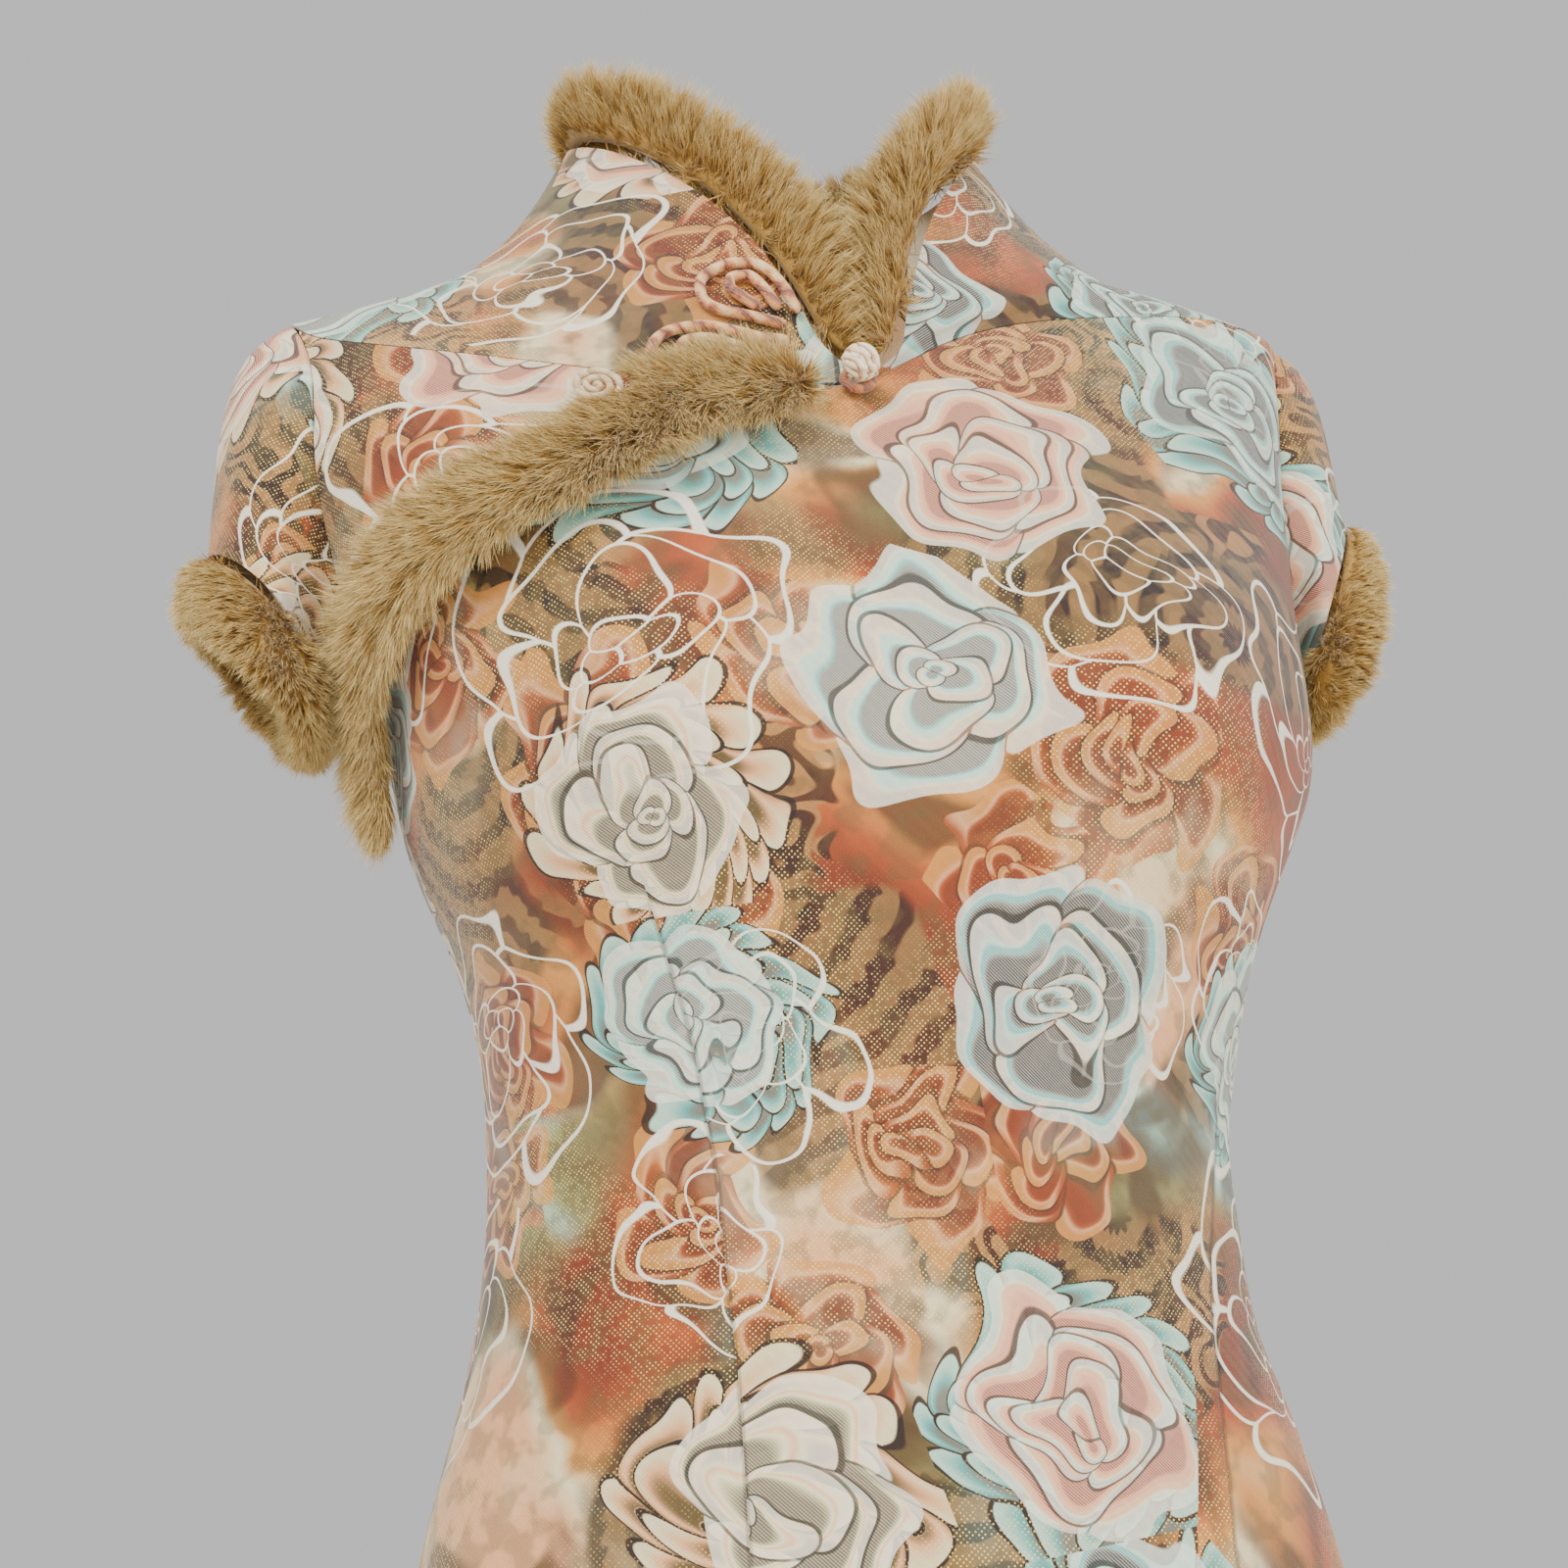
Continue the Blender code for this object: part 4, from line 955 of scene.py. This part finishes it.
def unwrap(piece, outer):
    """Unwrap the faces of the outer layer."""
    bpy.context.tool_settings.mesh_select_mode = (False, False, True)
    show_only(piece)
    start_editing("DESELECT")
    bpy.ops.object.mode_set(mode="OBJECT")
    piece.data.polygons.foreach_set("select", outer)
    bpy.ops.object.mode_set(mode="EDIT")
    bpy.ops.uv.unwrap(method="ANGLE_BASED", fill_holes=False, margin=0.0)
    bpy.ops.object.mode_set(mode="OBJECT")


def lay_flat(piece, outer, toward, offset, cut):
    """Lay the outer layer flat in metres; other faces take the print of the nearest corner."""
    mesh = piece.data
    mesh.uv_layers.new(name="cloth")
    if cut is not None:
        cut_open(piece, outer, *cut)
    unwrap(piece, outer)
    layer = mesh.uv_layers["cloth"]
    upright, area = true_size(mesh, outer, toward)
    spots = [mesh.vertices[loop.vertex_index].co.copy() for loop in mesh.loops]
    own = [k for face in mesh.polygons if outer[face.index] for k in face.loop_indices]
    flats = np.array([upright(np.array(layer.data[k].uv)) for k in own])
    tree = plant_tree([spots[k] for k in own])
    for k, flat in zip(own, flats):
        layer.data[k].uv = flat + np.array(offset)
    for face in mesh.polygons:
        if outer[face.index]:
            continue
        for k in face.loop_indices:
            layer.data[k].uv = flats[tree.find(spots[k])[1]] + np.array(offset)
    width, length = np.ptp(flats, axis=0)
    return float(width), float(length), float(area)


print("the flat layer of a panel is measured in metres")

# %% [markdown]
# Worn cloth is never quite smooth: it pulls in soft, shallow drags from the underarm to the bust
# and along the waist. Each is a trough or ridge between two points, deepest in its middle. Both
# layers of the cloth move together, and pieces that meet take the same drags, so seams stay shut.

# %% Drags in the cloth
BODY_AXIS_X = -0.004
# From where, to where, how wide, and how far outward
DRAGS = (
    ((0.150, -0.030, -0.165), (0.075, -0.095, -0.190), 0.013, -0.0022),
    ((0.150, -0.030, -0.190), (0.090, -0.090, -0.225), 0.012, 0.0016),
    ((-0.150, -0.030, -0.185), (-0.080, -0.090, -0.200), 0.013, -0.0020),
    ((-0.148, -0.030, -0.215), (-0.090, -0.085, -0.245), 0.012, 0.0015),
    ((0.128, -0.020, -0.330), (0.060, -0.090, -0.300), 0.015, -0.0020),
    ((0.122, -0.020, -0.365), (0.050, -0.090, -0.350), 0.013, 0.0018),
    ((0.120, -0.020, -0.400), (0.045, -0.092, -0.395), 0.014, -0.0018),
    ((-0.130, -0.020, -0.320), (-0.070, -0.080, -0.300), 0.014, -0.0018),
    ((-0.125, -0.020, -0.360), (-0.050, -0.085, -0.350), 0.013, 0.0016),
    ((-0.128, -0.020, -0.395), (-0.055, -0.090, -0.400), 0.015, -0.0018),
    ((0.020, -0.100, -0.470), (0.110, -0.070, -0.520), 0.020, -0.0022),
    ((-0.030, -0.100, -0.480), (-0.120, -0.070, -0.540), 0.020, -0.0020),
    ((0.000, -0.105, -0.560), (0.010, -0.110, -0.860), 0.030, -0.0025),
    ((0.075, -0.095, -0.580), (0.085, -0.095, -0.870), 0.024, 0.0022),
    ((-0.080, -0.095, -0.570), (-0.090, -0.095, -0.870), 0.024, 0.0022),
    ((0.060, 0.090, -0.560), (0.070, 0.105, -0.870), 0.028, -0.0025),
    ((-0.060, 0.090, -0.560), (-0.075, 0.105, -0.870), 0.028, 0.0025),
    ((-0.090, 0.080, -0.330), (0.080, 0.082, -0.345), 0.014, -0.0025),
    ((-0.080, 0.080, -0.365), (0.090, 0.082, -0.375), 0.013, 0.0020),
    ((-0.070, 0.082, -0.400), (0.080, 0.084, -0.405), 0.015, -0.0022),
    ((0.120, -0.048, -0.030), (0.100, -0.080, -0.130), 0.012, -0.0014),
    ((0.178, -0.040, -0.030), (0.205, -0.035, -0.095), 0.010, 0.0012),
    ((-0.178, -0.035, -0.040), (-0.215, -0.030, -0.100), 0.010, 0.0012),
)


def drag_cloth(mesh):
    """Move a mesh's points in and out along the drags; gives the farthest move."""
    points = np.array([vertex.co for vertex in mesh.vertices])
    outward = points - np.array([BODY_AXIS_X, 0.0, 0.0])
    outward[:, 2] = 0.0
    outward /= np.maximum(np.linalg.norm(outward, axis=1), 0.001)[:, None]
    moved = np.zeros(len(points))
    for start, end, width, height in DRAGS:
        start, end = np.array(start), np.array(end)
        along = end - start
        share = np.clip((points - start) @ along / (along @ along), 0.0, 1.0)
        far = np.linalg.norm(points - (start + share[:, None] * along), axis=1)
        swell = np.sin(math.pi * np.clip(0.08 + 0.84 * share, 0.0, 1.0))
        moved += height * swell * np.exp(-((far / width) ** 2))
    mesh.vertices.foreach_set("co", (points + moved[:, None] * outward).ravel())
    mesh.update()
    return float(np.abs(moved).max())


print(len(DRAGS), "drags of up to", max(abs(drag[3]) for drag in DRAGS) * 1000, "mm")

# %% [markdown]
# Now the six panels are made in turn: copied, told apart, laid flat, rounded by a Subdivision Surface,
# dragged and shaded. The size of each flat cut is printed.

# %% Make the panels
SMOOTH_LEVELS = 2
SMOOTH_ANGLE = math.radians(50.0)
FRONT, BACK = (0.0, -1.0, 0.0), (0.0, 1.0, 0.0)
LEFT, RIGHT = (1.0, 0.0, 0.0), (-1.0, 0.0, 0.0)
YOKE_CUT = ((0.0, 0.06, 0.09), (0.0, 0.08, 0.0))
LEFT_SLEEVE_CUT = ((0.16, 0.0, -0.09), (0.19, 0.0, -0.14))
RIGHT_SLEEVE_CUT = ((-0.16, 0.0, -0.09), (-0.20, 0.0, -0.15))
PANELS = {
    "front_main": {"toward": FRONT, "offset": (0.0, 0.0), "cut": None},
    "front_right": {"toward": FRONT, "offset": (0.53, 0.31), "cut": None},
    "back": {"toward": BACK, "offset": (1.37, 0.22), "cut": None},
    "collar_yoke": {"toward": FRONT, "offset": (0.46, 1.71), "cut": YOKE_CUT},
    "sleeve_left": {"toward": LEFT, "offset": (0.81, 1.17), "cut": LEFT_SLEEVE_CUT},
    "sleeve_right": {"toward": RIGHT, "offset": (1.33, 0.41), "cut": RIGHT_SLEEVE_CUT},
}


def use_modifier(piece, kind, **settings):
    """Add a modifier to a piece and apply it."""
    show_only(piece)
    modifier = piece.modifiers.new("step", kind)
    for name, value in settings.items():
        setattr(modifier, name, value)
    bpy.ops.object.modifier_apply(modifier=modifier.name)


def make_panel(node, facts):
    """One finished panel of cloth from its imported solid."""
    piece = take_copy(node, node + "_panel")
    mesh = piece.data
    outer, inner = find_layers(mesh)
    hold_rims(mesh, outer, inner)
    width, length, area = lay_flat(piece, outer, **facts)
    darted = node == "front_main"
    mesh.materials.append(darted_cloth if darted else printed_cloth)
    mesh.materials.append(reverse_cloth)
    mesh.polygons.foreach_set("material_index", inner.astype(np.int32))
    use_modifier(piece, "SUBSURF", levels=SMOOTH_LEVELS, render_levels=SMOOTH_LEVELS)
    deepest = drag_cloth(mesh)
    if darted:
        add_dart_values(mesh)
    bpy.ops.object.shade_smooth_by_angle(angle=SMOOTH_ANGLE)
    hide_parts(node)
    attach(piece, "root")
    print(f"{node}: cut {width:.3f} by {length:.3f} m, {area:.3f} square metres,",
          f"drags up to {deepest * 1000:.1f} mm, {len(mesh.polygons)} faces")
    return piece


panels = [make_panel(panel_name, panel_facts) for panel_name, panel_facts in PANELS.items()]

# %% [markdown]
# The fur is a strip of pelt. A soft core fills it, and thousands of thin, tapered ribbons of hair
# stand on it. Hair lies away from the cloth's edge, or along the strip on the opening, in tufts
# that end in a point. It is darker at its root than at its tip. Real strands give the feathered
# outline that a bump can't.

# %% Fur colours
ROOT_HAIR = colour(158, 126, 72)
MIDDLE_HAIR = colour(208, 174, 104)
TIP_HAIR = colour(246, 230, 178)
DARK_HAIR = colour(138, 104, 54)
STREAK_HAIR = colour(110, 84, 44)
PALE_HAIR = colour(228, 200, 144)
FUR_SETTINGS = {"Roughness": 0.55, "Specular IOR Level": 0.3, "Sheen Weight": 0.35,
                "Sheen Roughness": 0.35}


def fur_material():
    """Hair that is darker at its root, with a little change from strand to strand."""
    made, shader, draft = new_material("fur")
    own = draft.attribute("hair")
    tint = draft.ramp(draft.attribute("along"),
                      ((0.0, ROOT_HAIR), (0.45, MIDDLE_HAIR), (1.0, TIP_HAIR)))
    tint = draft.paint(draft.step(own, 0.0, 0.5, 0.28, 0.0), tint, DARK_HAIR)
    place = draft.node("ShaderNodeTexCoord").outputs["Object"]
    streaks = draft.noise(place, 900.0, 1.0, flat=False)
    tint = draft.paint(draft.step(streaks, 0.40, 0.60, 0.22, 0.0), tint, STREAK_HAIR)
    tint = draft.paint(draft.step(own, 0.75, 1.0, 0.0, 0.35), tint, PALE_HAIR)
    draft.join(tint, shader.inputs["Base Color"])
    set_inputs(shader, FUR_SETTINGS)
    return made


fur_paint = fur_material()
cloth_tree = plant_tree([vertex.co for piece in panels for vertex in piece.data.vertices])
print("fur colours run from", ROOT_HAIR, "to", TIP_HAIR)

# %% [markdown]
# Hair grows all over a pelt, and a furrier combs it. Roots are scattered by area, so that large
# faces get more of them. Each strand leans away from the cloth's edge, or along the strip on the
# opening. Blender's own hair could do this too, but plain points keep every step in sight.

# %% Where the strands stand and how they are combed
FUR_CORE_PULL = 0.0008
HAIR_START = 0.0004
CLOTH_NEIGHBOURS = 12
GUIDE_COUNT = 900
GUIDE_REACH = 0.022
UNDERARM_WAY = np.array([-0.7, 0.1, -0.7])
FUR_FALL = np.array([0.0, -0.06, -0.10])
STRAND_STRAY = 0.18


def unit(vectors):
    """Vectors of length one."""
    return vectors / np.maximum(np.linalg.norm(vectors, axis=1), 1e-9)[:, None]


def scatter_roots(mesh, count, random):
    """Pick random points all over a mesh, with the normals there."""
    mesh.calc_loop_triangles()
    points = np.array([vertex.co for vertex in mesh.vertices])
    normals = np.array([vertex.normal for vertex in mesh.vertices])
    corners = np.array([triangle.vertices for triangle in mesh.loop_triangles])
    areas = np.array([triangle.area for triangle in mesh.loop_triangles])
    chosen = random.choice(len(corners), count, p=areas / areas.sum())
    first = random.random(count)
    second = random.random(count)
    folded = first + second > 1.0
    first[folded] = 1.0 - first[folded]
    second[folded] = 1.0 - second[folded]
    shares = np.stack([1.0 - first - second, first, second], axis=1)
    roots = (points[corners[chosen]] * shares[:, :, None]).sum(axis=1)
    outward = (normals[corners[chosen]] * shares[:, :, None]).sum(axis=1)
    return roots, outward / np.linalg.norm(outward, axis=1)[:, None]


def away_from_cloth(roots):
    """For each root, the way from the nearest cloth."""
    away = []
    for root in roots:
        spots = [spot for spot, _, _ in cloth_tree.find_n(Vector(root), CLOTH_NEIGHBOURS)]
        away.append(root - np.mean([tuple(spot) for spot in spots], axis=0))
    return unit(np.array(away))


def along_strip(roots, random):
    """For each root, the way along the strip, toward its lower end."""
    guides = roots[random.choice(len(roots), GUIDE_COUNT, replace=False)]
    lines = []
    for spot in guides:
        near = guides[np.linalg.norm(guides - spot, axis=1) < GUIDE_REACH]
        line = np.linalg.svd(near - near.mean(axis=0))[2][0]
        lines.append(line if line @ UNDERARM_WAY > 0 else -line)
    tree = plant_tree(guides)
    return unit(np.array([lines[tree.find(Vector(root))[1]] for root in roots]))


def comb(roots, normals, facts, random):
    """Which way each strand points."""
    raised = away_from_cloth(roots)
    if "lift" in facts:
        combed = normals * facts["lift"] + raised * (1.0 - facts["lift"] * 0.5)
    else:
        aside = normals - (normals * raised).sum(axis=1)[:, None] * raised
        combed = aside * 0.85 + along_strip(roots, random) * 0.50 + raised * 0.30
    return unit(combed + FUR_FALL + random.normal(size=roots.shape) * STRAND_STRAY)


print("a strand is combed by its", CLOTH_NEIGHBOURS, "nearest points of cloth")

# %% [markdown]
# Fur clumps: tips that are close together are drawn into pointed tufts. Each strand is a ribbon of
# a quad and a triangle, wide at its foot and pointed at its tip. Those are the fewest faces that
# can bend once, and with thousands of strands every face counts.

# %% Tufts and strands
STRANDS_PER_TUFT = 26
TUFT_LEAN = 0.22
PARTING_REACH = 0.0080
HAIR_WIDTH = 0.00019
HAIR_DROOP = 0.16
# How far along a strand a part of it starts, and its width there
STRAND_PARTS = ((0.0, 1.0), (0.45, 0.85), (1.0, 0.0))
POINTS_PER_STRAND = 5


def gather_tufts(roots, directions, full_length, random):
    """Pull the strands' tips together in tufts; gives tips, lengths and each strand's tuft."""
    tufts = random.choice(len(roots), len(roots) // STRANDS_PER_TUFT, replace=False)
    tree = plant_tree(roots[tufts])
    own_tuft = np.array([tree.find(Vector(root))[1] for root in roots])
    tuft_length = 0.72 + 0.42 * random.random(len(tufts))
    lengths = full_length * tuft_length[own_tuft] * (0.70 + 0.36 * random.random(len(roots)))
    lean = unit(directions[tufts] + random.normal(size=(len(tufts), 3)) * TUFT_LEAN)
    tips = roots + directions * lengths[:, None]
    tuft_tips = roots[tufts] + lean * (full_length * tuft_length)[:, None]
    pull = (0.25 + 0.45 * random.random(len(tufts)))[own_tuft][:, None]
    return tips * (1.0 - pull) + tuft_tips[own_tuft] * pull, lengths, own_tuft, len(tufts)


def clear_of_coil(roots, tips):
    """Which strands leave the frog's coil free, since the fur is parted round it."""
    low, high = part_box("frog_coil")
    parting = np.array((low + high) / 2.0)
    clear = np.ones(len(roots), dtype=bool)
    for share in (0.0, 0.5, 1.0):
        spots = roots + share * (tips - roots) - parting
        clear &= np.hypot(spots[:, 0], spots[:, 2]) > PARTING_REACH
    return clear


def grow_strands(name, roots, directions, lengths, random):
    """A mesh of tapered ribbons, with how far along its strand each point is."""
    count = len(roots)
    aside = unit(np.cross(directions, random.normal(size=(count, 3))))
    droop = unit(random.normal(size=(count, 3))) * lengths[:, None] * HAIR_DROOP
    points, along = [], []
    for share, width in STRAND_PARTS:
        middle = roots + directions * (lengths * share)[:, None] + droop * share ** 2
        sides = (-1.0, 1.0) if width > 0.0 else (0.0,)
        points += [middle + aside * HAIR_WIDTH * width * side for side in sides]
        along += [share] * len(sides)
    points = np.stack(points, axis=1).reshape(-1, 3)
    first = np.arange(count) * POINTS_PER_STRAND
    quads = np.stack([first, first + 1, first + 3, first + 2], axis=1)
    ends = np.stack([first + 2, first + 3, first + 4], axis=1)
    mesh = bpy.data.meshes.new(name)
    mesh.from_pydata(points.tolist(), [], quads.tolist() + ends.tolist())
    add_values(mesh, "along", np.tile(along, count))
    return mesh


print(POINTS_PER_STRAND, "points to a strand, about", STRANDS_PER_TUFT, "strands to a tuft")

# %% [markdown]
# Now the four strips are made. Each keeps its solid as a core, drawn in a little so that the hair
# covers it. The random numbers start from a fixed seed, so every run grows the same hair.

# %% Make the fur
FUR_PIECES = {
    "fur_collar": {"strands": 56000, "length": 0.0135, "lift": 0.55},
    "fur_opening": {"strands": 58000, "length": 0.0150},
    "fur_cuff_left": {"strands": 34000, "length": 0.0085, "lift": 0.60},
    "fur_cuff_right": {"strands": 38000, "length": 0.0090, "lift": 0.60},
}
FIRST_SEED = 11
CORE_ALONG = 0.25
CORE_TINT = 0.4


def make_fur(node, facts, seed):
    """A core with combed strands on it."""
    random = np.random.default_rng(seed)
    core = take_copy(node, node + "_hair")
    use_modifier(core, "SUBSURF", levels=1, render_levels=1)
    roots, normals = scatter_roots(core.data, facts["strands"], random)
    use_modifier(core, "DISPLACE", strength=-FUR_CORE_PULL, mid_level=0.0)
    roots = roots - normals * (FUR_CORE_PULL + HAIR_START)
    directions = comb(roots, normals, facts, random)
    tips, lengths, own_tuft, tuft_count = gather_tufts(roots, directions, facts["length"], random)
    clear = clear_of_coil(roots, tips)
    roots, tips, lengths, own_tuft = roots[clear], tips[clear], lengths[clear], own_tuft[clear]
    mesh = grow_strands(node + " strands", roots, unit(tips - roots), lengths, random)
    tint = 0.5 * random.random(tuft_count)[own_tuft] + 0.5 * random.random(len(roots))
    add_values(mesh, "hair", np.repeat(tint, POINTS_PER_STRAND))
    add_values(core.data, "along", np.full(len(core.data.vertices), CORE_ALONG))
    add_values(core.data, "hair", np.full(len(core.data.vertices), CORE_TINT))
    core.data.materials.append(fur_paint)
    mesh.materials.append(fur_paint)
    strands = link_object(node + " strands", mesh)
    show_only(core)
    strands.select_set(True)
    bpy.ops.object.join()
    show_only(core)
    bpy.ops.object.shade_smooth()
    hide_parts(node)
    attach(core, "root")
    triangles = sum(len(face.vertices) - 2 for face in core.data.polygons)
    print(f"{node}: {len(roots)} strands, {triangles} triangles")


for fur_count, (fur_node, fur_facts) in enumerate(FUR_PIECES.items()):
    make_fur(fur_node, fur_facts, seed=FIRST_SEED + fur_count)

# %% [markdown]
# The frog is cord covered with bias strips of the same cloth, so slanting bands of cream, amber
# and brown run round it. The coil stands in the fur, which is parted round it, and it is lifted a
# little so that the fur doesn't bury it.

# %% The frog's cords
WRAP_PITCH = 0.0062
LONG_WRAP_PITCH = 0.0085
KNOT_WRAP_PITCH = 0.0045
CORD_CREAM = colour(236, 210, 164)
RING_BROWN = colour(172, 96, 34)
COIL_TAN = colour(214, 192, 150)
CORD_SETTINGS = {"Roughness": 0.7, "Sheen Weight": 0.25}
CORD_RELIEF = {"strength": 0.5, "distance": 0.0003}
COIL_LIFT = (-0.0015, -0.0065, 0.0020)


def cord_material(name, stops, pitch=WRAP_PITCH):
    """Cord covered with bias strips of the printed cloth."""
    made, shader, draft = new_material(name)
    place = draft.node("ShaderNodeTexCoord").outputs["Object"]
    x, _, z = draft.parts(place)
    slant = draft.plus(draft.times(x, 1.0 / pitch), draft.times(z, 0.8 / pitch))
    slant = draft.times_plus(draft.noise(place, 160.0, 2.0, flat=False), 1.4, slant)
    band = draft.math("FRACT", slant)
    twill = draft.sine(draft.times(draft.plus(x, z), TURN / TWILL_PITCH))
    twill = draft.times_plus(twill, 0.06, 0.06)
    draft.join(draft.paint(twill, draft.ramp(band, stops), RIM_WHITE), shader.inputs["Base Color"])
    set_inputs(shader, CORD_SETTINGS)
    from_middle = draft.math("ABSOLUTE", draft.minus(band, 0.5))
    height = draft.plus(draft.step(from_middle, 0.40, 0.5, 1.0, -1.0), twill)
    draft.join(draft.relief(height, **CORD_RELIEF), shader.inputs["Normal"])
    return made


printed_cord = cord_material("printed cord", (
    (0.00, CORD_CREAM), (0.18, colour(230, 180, 124)), (0.34, AMBER), (0.46, RUST),
    (0.58, BROWN), (0.68, RUST), (0.82, AMBER), (1.00, CORD_CREAM)), LONG_WRAP_PITCH)
ring_cord = cord_material("ring cord", (
    (0.00, RING_BROWN), (0.45, colour(206, 142, 70)), (0.60, colour(130, 66, 24)),
    (1.00, RING_BROWN)))
coil_cord = cord_material("coil cord", (
    (0.00, COIL_TAN), (0.55, colour(232, 214, 178)), (0.75, colour(190, 160, 116)),
    (1.00, COIL_TAN)))
knot_cord = cord_material("knot cord", (
    (0.00, colour(248, 240, 222)), (0.50, CREAM), (0.62, BROWN), (0.70, PINK), (1.00, CREAM)),
    KNOT_WRAP_PITCH)
CORDS = {
    "frog_upper_loop": printed_cord,
    "frog_upper_finger": printed_cord,
    "frog_lower_loop": printed_cord,
    "frog_lower_finger": printed_cord,
    "frog_coil": coil_cord,
    "frog_ring": ring_cord,
}
for cord_node, cord_paint in CORDS.items():
    cord_piece = take_copy(cord_node, cord_node + "_wrapped")
    use_modifier(cord_piece, "SUBSURF", levels=SMOOTH_LEVELS, render_levels=SMOOTH_LEVELS)
    if cord_node == "frog_coil":
        cord_piece.data.transform(Matrix.Translation(COIL_LIFT))
    cord_piece.data.materials.append(cord_paint)
    bpy.ops.object.shade_smooth()
    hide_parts(cord_node)
    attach(cord_piece, "root")
    print(cord_node, len(cord_piece.data.polygons), "faces")

# %% [markdown]
# The knot that closes the frog is a ball of the same cord, tied so that its strands lie over each
# other. A ball with rings of cord, each turned another way and a little larger, looks just so.

# %% Tie the knot
KNOT_STRANDS = (
    (0.0, 0.0, 0.0), (90.0, 0.0, 0.0), (0.0, 90.0, 0.0),
    (45.0, 30.0, 0.0), (-45.0, 30.0, 0.0), (30.0, -45.0, 60.0),
)
KNOT_CORE = 0.80
KNOT_RING = 0.74
KNOT_RING_STEP = 0.02
KNOT_CORD = 0.22


def make_knot():
    """A small ball with cords laid over each other round it."""
    low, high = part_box("knot_button")
    centre = (low + high) / 2.0
    radius = (high.z - low.z) / 2.0
    bpy.ops.mesh.primitive_uv_sphere_add(segments=32, ring_count=16, radius=radius * KNOT_CORE,
                                         location=centre)
    knot = bpy.context.object
    knot.name = "knot_tied"
    parts = [knot]
    for count, turn in enumerate(KNOT_STRANDS):
        bpy.ops.mesh.primitive_torus_add(
            major_radius=radius * (KNOT_RING + KNOT_RING_STEP * count),
            minor_radius=radius * KNOT_CORD, major_segments=40, minor_segments=12,
            location=centre, rotation=[math.radians(angle) for angle in turn])
        parts.append(bpy.context.object)
    show_only(knot)
    for part in parts:
        part.select_set(True)
    bpy.ops.object.join()
    bpy.ops.object.transform_apply(location=True, rotation=True, scale=True)
    knot.data.materials.append(knot_cord)
    bpy.ops.object.shade_smooth()
    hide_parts("knot_button")
    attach(knot, "root")
    return knot


knot = make_knot()
print("knot with", len(knot.data.polygons), "faces")

# %% [markdown]
# Last, the selection is cleared.

# %% Finish
bpy.ops.object.select_all(action="DESELECT")
